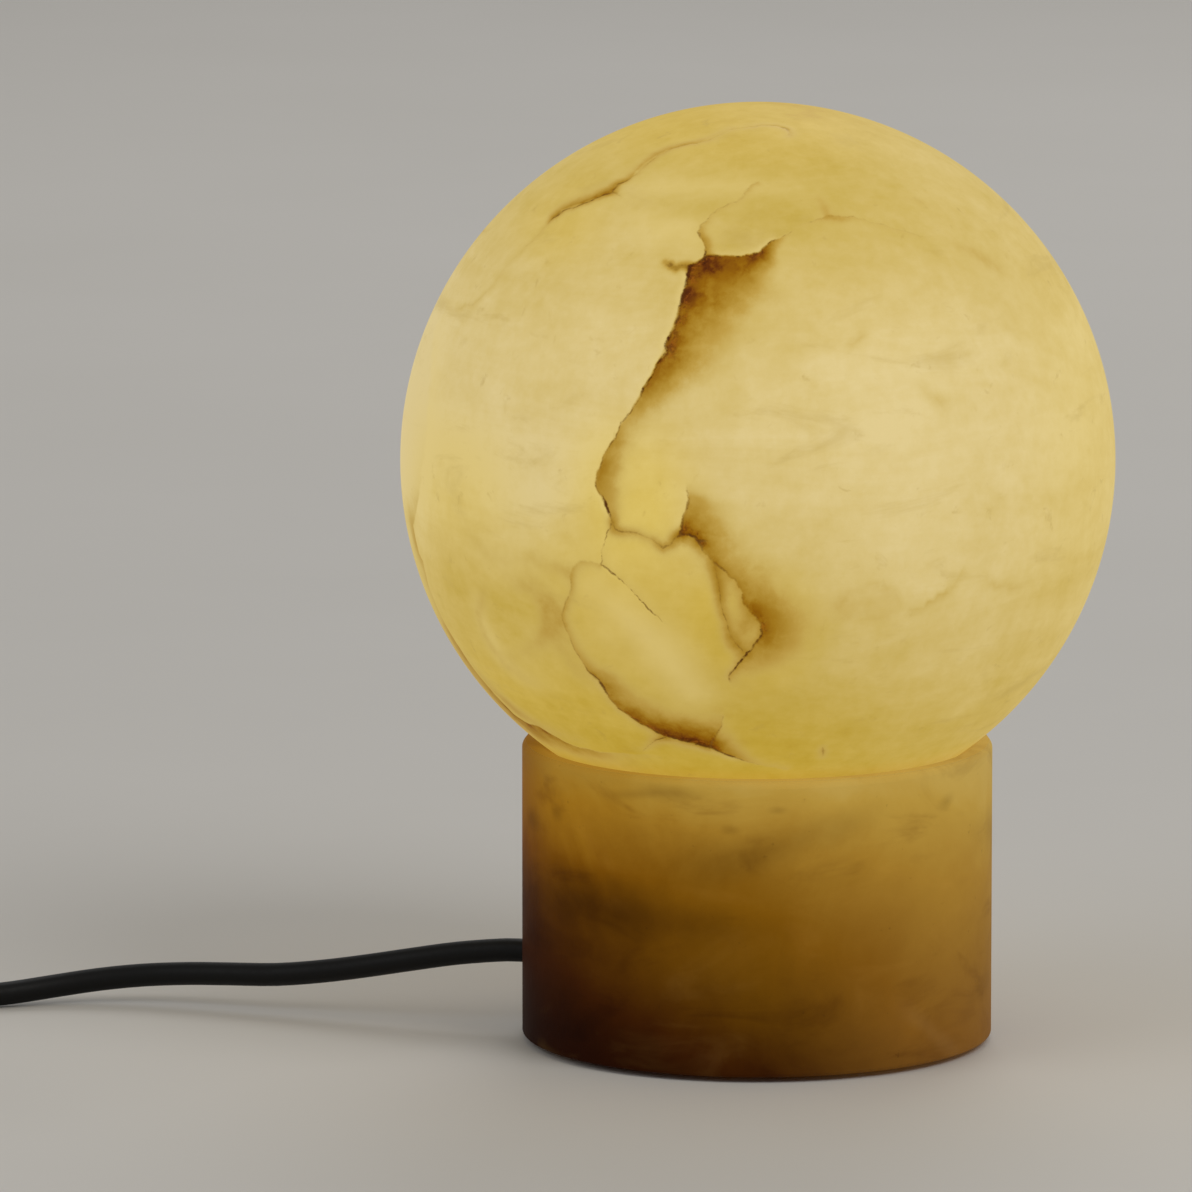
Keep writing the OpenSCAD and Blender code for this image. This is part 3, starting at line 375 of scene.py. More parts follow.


# The globe's veins: name, turn about the upright axis in degrees, side of the brown stain and painted shade
# (1 is right of the way the route goes, 0 both, and less than 1 lets some across), raggedness, and points of
# (right, up, half width, darkness, stain and painted shade, reach of the stain). Values left out are those of
# the point before. A route whose points start with (right, up, stain, reach) draws no line, only a soft stain
# or painted shade, or a pale patch of painted light where its stain is below 0.
VEINS = [
    ("main_fissure", 0, -1, 0.12, (-15.4, 54.8, 0.4, 0.8, 0.9, 11), (-17.3, 53.2, 0.45, 0.9, 0.95),
     (-19.6, 52.2, 0.54, 0.95, 0.95, 12.5), (-19.8, 51.2, 0.59, 0.95, 1), (-20.1, 49.6, 0.54, 0.95, 0.95),
     (-20.4, 47.3, 0.59, 0.9, 0.8, 12), (-21.6, 43.7, 0.59, 0.9, 0.74), (-21.7, 42.7, 0.66, 0.9, 0.66),
     (-22.5, 40.6, 0.54, 0.85, 0.62), (-23, 37.6, 0.71, 0.85, 0.62, 9), (-23.6, 35.8, 0.48, 0.85, 0.57),
     (-25.7, 32, 0.54, 0.95, 0.62), (-26, 31, 0.66, 0.95, 0.71), (-25.9, 28.3, 0.71, 0.95, 0.68),
     (-27.8, 26.4, 0.36, 0.95, 0.56), (-28.9, 24.3, 0.36, 0.95, 0.51), (-29.7, 22.7, 0.29, 0.85, 0.5),
     (-32.4, 18.7, 0.42, 0.85, 0.42, 7), (-32.9, 17.3, 0.34, 0.76, 0.34), (-36.7, 11.2, 0.26, 0.57, 0.22, 5),
     (-39.3, 6.6, 0.26, 0.57, 0.26), (-39.9, 5, 0.3, 0.66, 0.3), (-42.3, 1.6, 0.26, 0.57, 0.37),
     (-43.9, -2.2, 0.26, 0.57, 0.4, 8), (-45.2, -6.5, 0.3, 0.66, 0.42), (-45.4, -7.6, 0.3, 0.71),
     (-44.1, -10.5, 0.34, 0.76, 0.34, 7), (-42.6, -13.2, 0.59, 0.9, 0.3), (-41.4, -16.1, 0.42, 0.85, 0.25, 5),
     (-41, -17.7, 0.26, 0.66, 0.12, 4), (-41.4, -19.8, 0.26, 0.57, 0, 3), (-42.8, -22.8),
     (-43.9, -26.3, 0.26, 0.57, 0.1, 4), (-44, -29.7, 0.26, 0.57, 0.12), (-41.6, -31.4, 0.42, 0.71, 0.1, 3),
     (-40.4, -32.3, 0.42, 0.71, 0.08), (-37.6, -34.8, 0.21, 0.52, 0.12, 4), (-34.7, -37.7, 0.21, 0.57),
     (-31.9, -40.5, 0.26, 0.66, 0.1), (-29.9, -42.8, 0.3, 0.66, 0.08), (-27.3, -45.1, 0.17, 0.38, 0.04),
     (-24.5, -47.4, 0.13, 0, 0)),
    ("fissure_shade", 0, -1, 0, (-18, 52, 0.18, 33), (-22, 42, 0.2), (-25.5, 32, 0.18, 30),
     (-29, 24, 0.17, 18), (-36, 12, 0.1, 10), (-42, 1.5, 0.1, 9), (-45, -7, 0.1, 12)),
    ("spur_shade", 0, -1, 0, (-20, -11, 0.06, 14), (-20.6, -15, 0.12, 18), (-21.5, -19, 0.16, 20),
     (-17.6, -23, 0.14, 18), (-12, -29.5, 0.05, 14)),
    ("fissure_tick", 0, 0, 0.12, (-26.2, 53.3, 0.65, 0.35, 0.28, 1.8), (-24.9, 52.6, 0.91, 0.61),
     (-23.3, 51.5, 0.78, 0.68), (-21.8, 52.2, 0.78, 0.61), (-19.9, 52, 0.78, 0.81)),
    ("upper_plate", 0, 0.8, 0.12, (-19.6, 52.4, 0.5, 0.9, 0.34, 3), (-17.3, 53.1, 0.4, 0.8),
     (-15.7, 54.7, 0.35), (-15.2, 57.2, 0.3, 0.65), (-16, 59.5, 0.3, 0.55), (-17.3, 61.7, 0.4, 0.65),
     (-16.7, 63.6, 0.3, 0.55, 0.2), (-13.8, 66.5, 0.25, 0.45), (-11.9, 68.1, 0.25, 0.35),
     (-9, 69.4, 0.3, 0.3), (-5.2, 71.3, 0.5, 0.35), (-3.2, 74.2, 0.6, 0.15), (-0.8, 75.8, 0.6, 0.12)),
    ("plate_ledge", 0, 1, 0.12, (-15.4, 54.7, 0.48, 0.81, 0.85, 14.3), (-10.3, 54.9, 0.21, 0.77, 0.78),
     (-6.7, 54.8, 0.21, 0.77, 0.78, 11.88), (-4, 55.3, 0.24, 0.77, 0.88, 10.89),
     (-1.4, 55.7, 0.42, 0.85, 0.88, 7.92), (0, 56, 0.48, 0.9, 0.88, 5.45), (1.3, 57.6, 0.24, 0.81, 0.6, 3.6),
     (3.4, 59.3, 0.3, 0.77, 0.4, 2.25), (5, 59.8, 0.18, 0.45, 0.25, 1.8), (6.7, 60.8, 0.24, 0.45, 0.15),
     (9.5, 63, 0.18, 0.18, 0.05, 2.7), (12.8, 64.1, 0.3, 0.26, 0.15, 2.6), (17.9, 66.1), (25.7, 66.1),
     (32.7, 64.1), (43.3, 61), (50.6, 61, 0.36, 0, 0, 4.5)),
    ("ledge_spot", 0, 0, 0.1, (16.2, 70.8, 0.12, 3), (17.6, 68.9, 0.24), (18.4, 66.4), (22.3, 65.2, 0.14)),
    ("spur", 0, -1, 0.12, (-20.6, -8.1, 0.3, 0, 0, 3), (-20.5, -9.7, 0.35, 0.5, 0.08, 4),
     (-19.9, -12.2, 0.4, 0.55, 0.18, 6), (-20.6, -14.8, 0.4, 0.6, 0.32, 8),
     (-21.6, -17.7, 0.4, 0.65, 0.46, 8.5), (-22.2, -20.8, 0.55, 0.8, 0.6), (-22, -21.7, 0.55, 0.7, 0.56, 7)),
    ("middle_plate", 0, 0, 0.06, (-40.7, -18, 0.25, 0.5, 0.14, 3), (-40.1, -20), (-38.2, -20.7, 0.35, 0.54),
     (-35.9, -20.8, 0.3, 0.5), (-33.6, -21.2, 0.25, 0.41), (-30.7, -22.5, 0.25, 0.45),
     (-28.5, -24, 0.3, 0.59), (-27, -25.1, 0.4, 0.72, 0.15), (-25, -24.3, 0.3, 0.54, 0.2),
     (-23.6, -22.5, 0.3, 0.68, 0.3), (-22.2, -21.6, 0.45, 0.81, 0.4)),
    ("right_plate", 0, -0.45, 0.12, (-22.2, -21.6, 0.5, 0.85, 0.5, 5), (-19.9, -21.4, 0.4, 0.81),
     (-18.2, -22, 0.45), (-17.3, -23.4, 0.5), (-15.9, -26.3, 0.23, 0.44, 0.26, 10),
     (-13.6, -28.5, 0.32, 0.52), (-11.3, -30.5, 0.41, 0.6), (-9.3, -32.3, 0.36, 0.52), (-7, -34, 0.23, 0.4),
     (-5.6, -36.5, 0.23, 0.35, 0.5, 14), (-5.1, -39.7, 0.27), (-3.6, -41.7), (-1.6, -43.7, 0.32, 0.42),
     (-0.2, -45.7, 0.36, 0.63, 0.52), (0.1, -47.9, 0.41, 0.77), (-0.8, -50.2, 0.41, 0.81),
     (-2.8, -53.1, 0.32, 0.85, 0.41, 10.5), (-4.8, -55.1, 0.45, 0.9, 0.36, 9),
     (-6.8, -57.6, 0.32, 0.85, 0.27, 7.5), (-8.8, -60.8, 0.36, 0.7, 0.14, 6), (-8.6, -62.8, 0.23, 0, 0)),
    ("corner_twig", 0, 0, 0.12, (-17.3, -23.4, 0.4, 0.8, 0.2, 2), (-15.7, -23.2, 0.4, 0.6),
     (-14, -23.4, 0.25, 0.2, 0.05)),
    ("plate_corner", 0, 0, 0, (-3.7, -42.1, 0.1, 3), (-3.9, -45.5, 0.34, 4), (-5.6, -48.8, 0.22),
     (-7.6, -51.1, 0.1, 3)),
    ("inner_line", 0, 0, 0.06, (-13.1, -29.1, 0.2, 0.25, 0.2, 2.6), (-11.9, -34.2, 0.2, 0.45, 0.26),
     (-11.3, -38.2, 0.22, 0.5), (-10.5, -42.8), (-9.1, -47.4), (-7.4, -50.8, 0.22, 0.5, 0.2),
     (-5.1, -53.4, 0.25, 0.6)),
    ("lower_plate", 0, -0.7, 0.06, (-44, -29.7, 0.24, 0.21, 0.16, 2.97),
     (-46.7, -28.8, 0.36, 0.13, 0.16, 2.7), (-49.6, -28.8, 0.48, 0.17), (-51.6, -30.5, 0.6, 0.21),
     (-52.4, -33.1, 0.36, 0.26), (-52.1, -36.5, 0.36, 0.38), (-53.6, -39.9, 0.3, 0.3),
     (-54.7, -43.4, 0.24, 0.3, 0.16, 3.6), (-53.8, -46.8), (-52.1, -50.8, 0.3, 0.38, 0.2, 4.5),
     (-50.4, -54.2, 0.3, 0.42, 0.3), (-47.6, -58.8, 0.36, 0.55, 0.4, 5.4),
     (-44.4, -61.6, 0.55, 0.81, 0.6, 6.93), (-43.3, -63.3, 0.5, 0.77, 0.5, 7.92),
     (-41.3, -66.8, 0.3, 0.59, 0.5, 8.91), (-38.7, -69.6, 0.3, 0.64, 0.55, 9.9),
     (-35.3, -71.9, 0.3, 0.64, 0.6, 10.89), (-31.3, -74.2, 0.3, 0.64, 0.7, 8.98),
     (-27.9, -76.2, 0.45, 0.77, 0.8, 10.61), (-24.5, -77.3, 0.5, 0.81, 0.88, 11.42),
     (-19.9, -78.5, 0.6, 0.85, 0.95), (-15.9, -79.6, 0.75, 0.85, 1, 10.61),
     (-13.1, -80.3, 0.6, 0.85, 0.8, 8.16), (-10.2, -81.6, 0.4, 0.68, 0.45, 6.53),
     (-7.4, -82.7, 0.5, 0.77, 0.35, 4.76), (-3.9, -83.9, 0.25, 0.38, 0.2), (0.6, -85, 0.25, 0.21, 0.16, 4.08),
     (7.5, -86.3, 0.2, 0, 0.16, 3.4)),
    ("plate_branch", 0, 1, 0.06, (-10.2, -71.3, 0.25, 0.35, 0.05, 3), (-10.8, -74.2, 0.25, 0.55, 0.15, 4),
     (-11.9, -75.9, 0.25, 0.5, 0.25, 5), (-13.1, -77.9, 0.3, 0.4, 0.35), (-13.7, -79.9, 0.4, 0.6, 0.3)),
    ("lower_fork", 0, 0, 0.06, (-26.2, -77.3, 0.3, 0.75, 0.05, 2), (-28.5, -77.9, 0.25, 0.65, 0.04),
     (-30.4, -79.3, 0.22, 0.55), (-32.5, -81.3, 0.2, 0.15, 0)),
    ("limb_line", 0, 1, 0.06, (-90.1, 18.8, 0.4, 0, 0, 5), (-91.5, 9.6, 0.4, 0, 0.03, 6),
     (-92.9, 0.4, 0.4, 0, 0.06, 7), (-94.2, -10.2, 0.4, 0.04, 0.14, 8), (-96.2, -18.4, 0.5, 0.08, 0.24),
     (-94.5, -26.5, 0.5, 0.1, 0.28), (-93.4, -28.7, 0.4, 0.09, 0.26), (-91.7, -36.1, 0.4, 0.08, 0.2),
     (-88.9, -42.7, 0.5, 0.08, 0.22, 10), (-85, -50, 0.6, 0.1, 0.3, 13), (-79.1, -58.9, 0.6, 0.12, 0.38, 17),
     (-73.1, -66.1, 0.6, 0.15, 0.42, 18), (-68.2, -71.2, 0.5, 0.27, 0.52, 16),
     (-63.8, -74, 0.4, 0.33, 0.52, 14.4), (-61, -74.7, 0.35, 0.36, 0.52, 10.8),
     (-57.6, -76.8, 0.3, 0.36, 0.52, 8.4), (-53.6, -79, 0.3, 0.3, 0.47, 7.2),
     (-49.6, -80.5, 0.25, 0.24, 0.38), (-43.9, -81.6, 0.2, 0.15, 0.25), (-33, -82.1, 0.2, 0.06, 0.12),
     (-24.1, -82.4, 0.2, 0, 0, 9.6)),
    ("top_vein", 0, 0, 0.12, (-83.8, 41.3, 0.34, 0.12, 0.09, 3), (-81.5, 42.3, 0.34, 0.14), (-79.3, 42.3),
     (-77, 44.2, 0.34, 0.12), (-74.5, 46.8, 0.34, 0.09), (-71.2, 51.3, 0.34, 0.08), (-66.7, 55.8, 0.34, 0.09),
     (-62.9, 59.6, 0.34, 0.11), (-59, 64.1, 0.34, 0.12), (-57.1, 66.4, 0.4, 0.6, 0.18),
     (-55.8, 67.3, 0.9, 0.9, 0.3, 2.6), (-54.3, 68.3, 0.4, 0.6, 0.18, 3), (-52.6, 68.9, 0.36, 0.5, 0.14),
     (-48.8, 70.2, 0.36, 0.72), (-44.9, 71.8), (-41.1, 73.1), (-39.7, 74.7, 0.4, 0.7), (-39.3, 75.4),
     (-35.9, 77, 0.39, 0.43, 0.13, 3.5), (-33.4, 78.9, 0.26, 0.29), (-31.1, 81.1, 0.26, 0.36),
     (-28.2, 83.7, 0.26, 0.29), (-24.4, 85.6, 0.31, 0.36), (-17.3, 86.9, 0.26, 0.29),
     (-11.5, 89.1, 0.26, 0.18), (-6.4, 91.1, 0.34), (0.5, 92.2, 0.34, 0.22), (4.7, 92.1, 0.43, 0.29),
     (7.8, 91, 0.52, 0.36), (8.1, 89, 0.43, 0.14)),
    ("top_vein_shade", 0, -1, 0.06, (-57.1, 66.4, 0.1, 4), (-54.8, 68.6, 0.3, 6.4), (-48.8, 70.5),
     (-41.1, 73.4, 0.24, 5.6), (-35.9, 77.2, 0.17, 4.8), (-28.2, 84, 0.15), (-17.3, 87.2, 0.11),
     (-6.5, 91.4, 0.08)),
    ("top_vein_twig", 0, 0, 0.12, (-41.1, 73.1, 0.4, 0.5, 0.1, 3), (-39.7, 72.8, 0.4, 0.4),
     (-38.2, 71.2, 0.3, 0.15, 0.05)),
    ("left_fold", 0, 0, 0.05, (-84.7, -0.7, 0.02, 5.25), (-84.2, -10.5, 0.08), (-82.8, -15, 0.1),
     (-79.7, -21.7, 0.1, 4.6), (-75, -27.3, 0.13, 3.94), (-70.2, -28.7), (-62.9, -27.3, 0.14),
     (-58.2, -30.1, 0.18, 4.6), (-53.1, -31.2, 0.18, 3.94)),
    ("left_lobe", 0, 0, 0.05, (-75.8, -36, 0.12, 3.36), (-78, -43, 0.19), (-75.8, -49.7),
     (-71.3, -56.1, 0.16, 4.48), (-65.7, -60.9, 0.12, 5.61), (-57.6, -63.9, 0.08)),
    ("left_hollow", 0, 0, 0.05, (-69.9, -33.7, 0.09, 3.6), (-63.8, -36, 0.16, 4.5), (-59.6, -40.4, 0.21),
     (-59, -46.6), (-62.1, -52.2, 0.18), (-68.8, -54.7, 0.09, 3.6)),
    ("left_swell", 0, 0, 0, (-78, -39, -0.2, 4), (-77, -44, -0.42, 4.5), (-74.5, -50, -0.5, 5),
     (-71, -56, -0.42), (-64, -61, -0.2)),
    ("rim_shade", 0, 0, 0, (-84, -51.5, 0.05, 5), (-79.3, -57.8, 0.2, 5.5), (-73.5, -64.6, 0.27, 6),
     (-67, -70.6), (-59, -75.5, 0.2, 5.5), (-51, -77.5, 0.08, 5)),
    ("plate_fold", 0, 0, 0, (-62, -34, 0.06, 4), (-57, -40, 0.16, 4.5), (-55.5, -46, 0.19, 5),
     (-54.5, -52, 0.18, 4.5), (-51.5, -58, 0.16, 4), (-48, -62, 0.06)),
    ("middle_swell", 0, 0, 0, (-46, -32, -0.12, 6), (-42, -40, -0.34, 8), (-42, -48), (-38, -55, -0.12, 7)),
    ("lower_swell", 0, 0, 0, (-45, -36.5, -0.3, 7), (-38.1, -42.7, -0.55, 9), (-30.8, -49.4, -0.6, 10),
     (-24.1, -56.7), (-19, -64.5, -0.5, 9)),
    ("upper_swell", 0, 0, 0, (-33, 66.4, -0.2, 8), (-26.9, 62.4, -0.45), (-20.7, 62.4, -0.45, 6),
     (-17.9, 59.6, -0.4, 5)),
    ("top_swell", 0, 0, 0, (-50, 71, -0.1, 6), (-38, 73.5, -0.3, 7), (-24, 74, -0.42), (-12, 74.5, -0.36, 6),
     (2, 74, -0.26), (14, 73, -0.1, 5)),
    ("limb_band", 0, -1, 0.03, (-90.1, 36.2, -0.2, 9), (-90.9, 22.2, -0.5), (-91.7, 11), (-92.6, 2.6),
     (-94.5, -5.8), (-96.2, -12.8, -0.3, 7)),
    ("foot_tick", 0, 0, 0.06, (17.3, -79.9, 0.25, 0.35, 0.08, 2), (17.4, -81, 0.4, 0.5, 0.12),
     (17.3, -82.4, 0.25, 0.3, 0.05)),
    ("cloud_arc", 0, 0, 0.05, (20.7, -41, 0.05, 2.6), (23.2, -37, 0.11, 2.29), (30.4, -34.8, 0.1),
     (36.3, -36.9, 0.07, 2.6), (38.6, -41), (34.4, -44.2, 0.1, 2.29), (26.8, -45.3, 0.11, 2.08),
     (21.5, -44.2, 0.06)),
    ("cloud_fill", 0, 0, 0, (25, -40.5, 0.12, 6), (33, -40)),
    ("cloud_wedge", 0, 1, 0.05, (40.5, -42.4, 0.5, 0.03, 0.1, 3), (44.7, -40.5, 0.5, 0.04, 0.18, 3.5),
     (50.9, -36.6, 0.5, 0.04, 0.2, 4), (55.3, -30.4, 0.5, 0.02, 0.12)),
    ("cloud_streak", 0, 0, 0.05, (60.1, -32.4, 0.6, 0.01, 0.06, 3), (64.8, -35.5, 0.6, 0.05, 0.16, 2.5),
     (70.5, -36, 0.6, 0.04, 0.14), (76.5, -33, 0.6, 0, 0.05, 3)),
    ("high_blotch", 0, 0, 0.05, (54.5, 58.3, 0.1, 4), (58.4, 56.6, 0.19, 5), (61.8, 54.3, 0.22, 6),
     (65.4, 52.1, 0.12, 5)),
    ("streak_one", 0, 0, 0.05, (23.5, 79.5, 0.3, 0, 0.05, 2), (27.1, 78.1, 0.3, 0, 0.14),
     (30.4, 76.1, 0.3, 0.02, 0.15)),
    ("streak_two", 0, 0, 0.05, (38.3, 78.9, 0.05, 2), (42.5, 78.1, 0.13), (46.9, 75.6)),
    ("streak_three", 0, 0, 0.05, (31.8, 72.8, 0.05, 2.4), (37.7, 71.7, 0.12), (43.9, 70.6, 0.14),
     (49.2, 69.2, 0.09)),
    ("fleck_one", 0, 0, 0.05, (24, 30.3, 0.14, 1.8), (27.7, 33.1, 0.15)),
    ("fleck_two", 0, 0, 0.05, (44.4, 17.2, 0.055, 2.2), (48.1, 15.2, 0.077), (53.7, 15.5, 0.05)),
    ("fleck_three", 0, 0, 0.05, (67.9, 35.6, 0.12, 3), (71.3, 33.1)),
    ("right_hair", 0, 0, 0.05, (37, 22, 0.4, 0, 0.04, 3), (44, 19.5, 0.4, 0.04, 0.1),
     (50, 13, 0.4, 0.03, 0.08, 4), (53, 6, 0.4, 0, 0.03, 3)),
    ("back_fissure", 172, 1, 0.12, (36, 76, 0.3, 0.2, 0.08, 4), (30, 66, 0.4, 0.5, 0.2, 6),
     (24, 54, 0.5, 0.7, 0.4, 9), (17, 43, 0.6, 0.9, 0.6, 12), (18, 33, 0.8, 1, 0.75, 13),
     (13, 22, 0.6, 0.9, 0.65, 12), (5, 13, 0.5, 0.8, 0.5, 10), (2, 1), (-7, -9, 0.4, 0.7, 0.4, 8),
     (-9, -20, 0.6, 0.9, 0.5), (-18, -29, 0.4, 0.7, 0.35), (-20, -41, 0.4, 0.6), (-31, -51, 0.5, 0.8, 0.5, 9),
     (-35, -62, 0.4, 0.7, 0.4, 8), (-46, -70, 0.3, 0.4, 0.2, 6), (-52, -77, 0.2, 0, 0, 4)),
    ("back_plate", 172, -1, 0.1, (-9, -20, 0.4, 0.8, 0.4, 5), (1, -25, 0.4, 0.7, 0.4, 6),
     (10, -24, 0.35, 0.6, 0.4, 7), (21, -31, 0.4, 0.7, 0.5, 9), (27, -42, 0.4, 0.7, 0.6, 11),
     (22, -53, 0.5, 0.85, 0.7), (10, -61, 0.45, 0.8, 0.6, 10), (-4, -66, 0.35, 0.6, 0.4, 8),
     (-18, -66, 0.3, 0.5, 0.3, 6), (-31, -63, 0.3, 0.6, 0.2, 5)),
    ("back_twig", 172, 0, 0.1, (17, 43, 0.5, 0.8, 0.3, 3), (24, 40, 0.4, 0.6, 0.25, 4),
     (34, 41, 0.35, 0.5, 0.2), (43, 36, 0.3, 0.35, 0.15, 5), (55, 35, 0.3, 0.2, 0.1), (64, 29, 0.3, 0, 0)),
    ("back_hair", 172, 0, 0.06, (-62, 44, 0.3, 0, 0.02, 3), (-52, 38, 0.35, 0.3, 0.12, 4),
     (-44, 27, 0.3, 0.35), (-40, 14, 0.3, 0.3, 0.1), (-31, 4, 0.3, 0.35, 0.12), (-28, -8, 0.3, 0.25, 0.1),
     (-20, -17, 0.3, 0.1, 0.05, 3)),
    ("right_side_vein", 98, -1, 0.1, (44, 74, 0.3, 0, 0.04, 4), (33, 68, 0.4, 0.4, 0.2, 5),
     (22, 66, 0.4, 0.5, 0.25, 6), (11, 58, 0.45, 0.6, 0.3, 7), (6, 47, 0.4), (-5, 40, 0.35, 0.5, 0.25),
     (-9, 28), (-3, 18, 0.4, 0.6, 0.3, 6), (-6, 6, 0.3, 0.4, 0.2), (-16, -3, 0.3, 0.3, 0.15, 5),
     (-21, -14, 0.3, 0, 0, 4)),
    ("right_side_plate", 98, 1, 0.1, (34, -12, 0.3, 0, 0.05, 4), (28, -21, 0.35, 0.5, 0.25, 6),
     (19, -28, 0.45, 0.75, 0.45, 8), (15, -40, 0.5, 0.85, 0.6, 9), (19, -52, 0.4, 0.7, 0.5),
     (12, -62, 0.35, 0.6, 0.35, 8), (0, -68, 0.3, 0.5, 0.3, 6), (-14, -70, 0.3, 0.3, 0.2, 5),
     (-25, -74, 0.2, 0, 0.05, 4)),
    ("right_side_hair", 98, 0, 0.06, (19, -28, 0.3, 0.5, 0.15, 3), (9, -27, 0.28, 0.4, 0.12, 4),
     (-2, -31, 0.28, 0.35, 0.1), (-12, -40, 0.25, 0.25, 0.08), (-16, -50, 0.25, 0, 0)),
    ("left_side_vein", 262, 1, 0.1, (-38, 78, 0.3, 0, 0.04, 4), (-32, 66, 0.4, 0.5, 0.25, 6),
     (-34, 55, 0.45, 0.7, 0.4, 8), (-26, 43, 0.5, 0.8, 0.5, 10), (-25, 31, 0.45, 0.75, 0.45, 9),
     (-15, 22, 0.4, 0.6, 0.35, 8), (-13, 10, 0.35, 0.5, 0.3), (-3, -1, 0.4, 0.6, 0.35),
     (-2, -13, 0.4, 0.65, 0.4), (7, -24, 0.35, 0.5, 0.3, 7), (8, -37), (20, -48, 0.4, 0.6, 0.35),
     (24, -60, 0.3, 0.4, 0.2, 6), (34, -68, 0.2, 0, 0.05, 4)),
    ("left_side_twig", 262, 0, 0.1, (-26, 43, 0.45, 0.7, 0.25, 3), (-16, 46, 0.35, 0.5, 0.2, 4),
     (-6, 44, 0.3, 0.4, 0.15), (4, 50, 0.3, 0.3, 0.12, 5), (16, 52, 0.3, 0.15, 0.06), (24, 58, 0.3, 0, 0, 4)),
    ("left_side_plate", 262, -1, 0.1, (-3, -1, 0.35, 0.6, 0.2, 4), (-14, -7, 0.35, 0.5, 0.25, 5),
     (-26, -9, 0.35, 0.5, 0.3, 6), (-35, -18, 0.4, 0.6, 0.35, 8), (-37, -31, 0.4, 0.6, 0.4),
     (-29, -43, 0.45, 0.7, 0.45), (-16, -48, 0.35, 0.5, 0.3, 7), (-3, -46, 0.3, 0.4, 0.2, 5),
     (8, -37, 0.3, 0.4, 0.15, 4)),
    ("crown_vein", 190, 0, 0.1, (-48, 84, 0.3, 0, 0.04, 4), (-36, 88, 0.35, 0.4, 0.15, 5),
     (-22, 92, 0.35, 0.4, 0.18), (-10, 91, 0.4, 0.5, 0.2), (2, 94, 0.3, 0.35, 0.14),
     (16, 93, 0.3, 0.2, 0.08, 4), (26, 91, 0.3, 0, 0)),
]


def on_globe(right, up, turn):
    """The point of the globe's surface that is right and up of its middle as seen from the front, turned."""
    toward = math.sqrt(GLOBE_R**2 - right**2 - up**2)
    at = Vector((right, up * math.sin(EYE_TILT) - toward * math.cos(EYE_TILT),
                 up * math.cos(EYE_TILT) + toward * math.sin(EYE_TILT)))
    return Matrix.Rotation(math.radians(turn), 3, "Z") @ at


def ragged(points, roughness, chance):
    """Puts a shifted middle between each two points until none are further apart than FINEST."""
    while True:
        finer = [points[0]]
        for a, b in zip(points, points[1:]):
            way = b[:3] - a[:3]
            gap = np.linalg.norm(way)
            if gap > FINEST:
                middle = (a + b) / 2
                middle[:3] += np.cross(way, middle[:3] / GLOBE_R) * chance.uniform(-1, 1) * roughness
                middle[:3] *= GLOBE_R / np.linalg.norm(middle[:3])
                finer.append(middle)
            finer.append(b)
        if len(finer) == len(points):
            return np.array(points)
        points = finer


# Half width and darkness along a route that draws no line
NO_LINE = (1, 0)

routes = {}
for name, turn, side, roughness, *points in VEINS:
    rows, values = [], ()
    for right, up, *given in points:
        values = (*given, *values[len(given):])
        line = () if len(values) == 4 else NO_LINE
        rows.append(np.array([*on_globe(right, up, turn), *line, *values]))
    routes[name] = side, ragged(rows, roughness, random.Random(name))

# Stains and painted shades that end at another route, whose plain side they don't cross
WALLS = {"main_fissure": "plate_ledge", "plate_ledge": "main_fissure", "fissure_shade": "plate_ledge",
         "spur": "right_plate", "right_plate": "spur"}


def nearest(at, route):
    """For each point, its distance from a route, the side it is on, how far past the route's ends it lies, and
    the route's values there, with the stain and painted shade and their reach evened out over the stretches
    about as near. The points are taken a batch at a time, to spare memory."""
    batch, evening = 3000, 2.5
    a, b = route[:-1, :3], route[1:, :3]
    way = b - a
    length = np.linalg.norm(way, axis=1)
    middle = (route[:-1, 3:] + route[1:, 3:]) / 2
    best = np.full(len(at), 1e9)
    side, past, value = np.zeros(len(at)), np.zeros(len(at)), np.zeros((len(at), 4))
    for start in range(0, len(at), batch):
        part = slice(start, start + batch)
        p = at[part]
        to = p[:, None, :] - a[None]
        t = (to * way).sum(2) / length**2
        inside = np.clip(t, 0, 1)
        off = to - inside[:, :, None] * way
        gap = np.sqrt((off * off).sum(2))
        k = gap.argmin(1)
        i = np.arange(len(p))
        best[part] = gap[i, k]
        side[part] = np.sign((np.cross(way[k], p) * off[i, k]).sum(1))
        beyond = (t - inside)[i, k] * length[k]
        past[part] = (np.where(k == 0, np.maximum(-beyond, 0), 0)
                      + np.where(k == len(a) - 1, np.maximum(beyond, 0), 0))
        u = inside[i, k][:, None]
        value[part] = route[k, 3:] * (1 - u) + route[k + 1, 3:] * u
        weight = length * np.exp((best[part][:, None] - gap) / evening)
        value[part, 2:] = weight @ middle[:, 2:] / weight.sum(1)[:, None]
    return best, side, past, value


def points_of(mesh):
    """The mesh's points, in millimetres from the globe's middle, and their distances from it."""
    at = np.empty(len(mesh.vertices) * 3)
    mesh.vertices.foreach_get("co", at)
    at = at.reshape(-1, 3) / MM - (0, 0, GLOBE_Z)
    return at, np.linalg.norm(at, axis=1)


def on_sphere(mesh):
    """The mesh's points, moved out to the globe's surface."""
    at, far = points_of(mesh)
    return at * (GLOBE_R / far)[:, None]


def about(at, route, reach):
    """Which points lie within reach of the smallest ball round a route's middle that holds it."""
    middle = (route[:, :3].min(0) + route[:, :3].max(0)) / 2
    room = np.linalg.norm(route[:, :3] - middle, axis=1).max() + reach
    return np.linalg.norm(at - middle, axis=1) < room


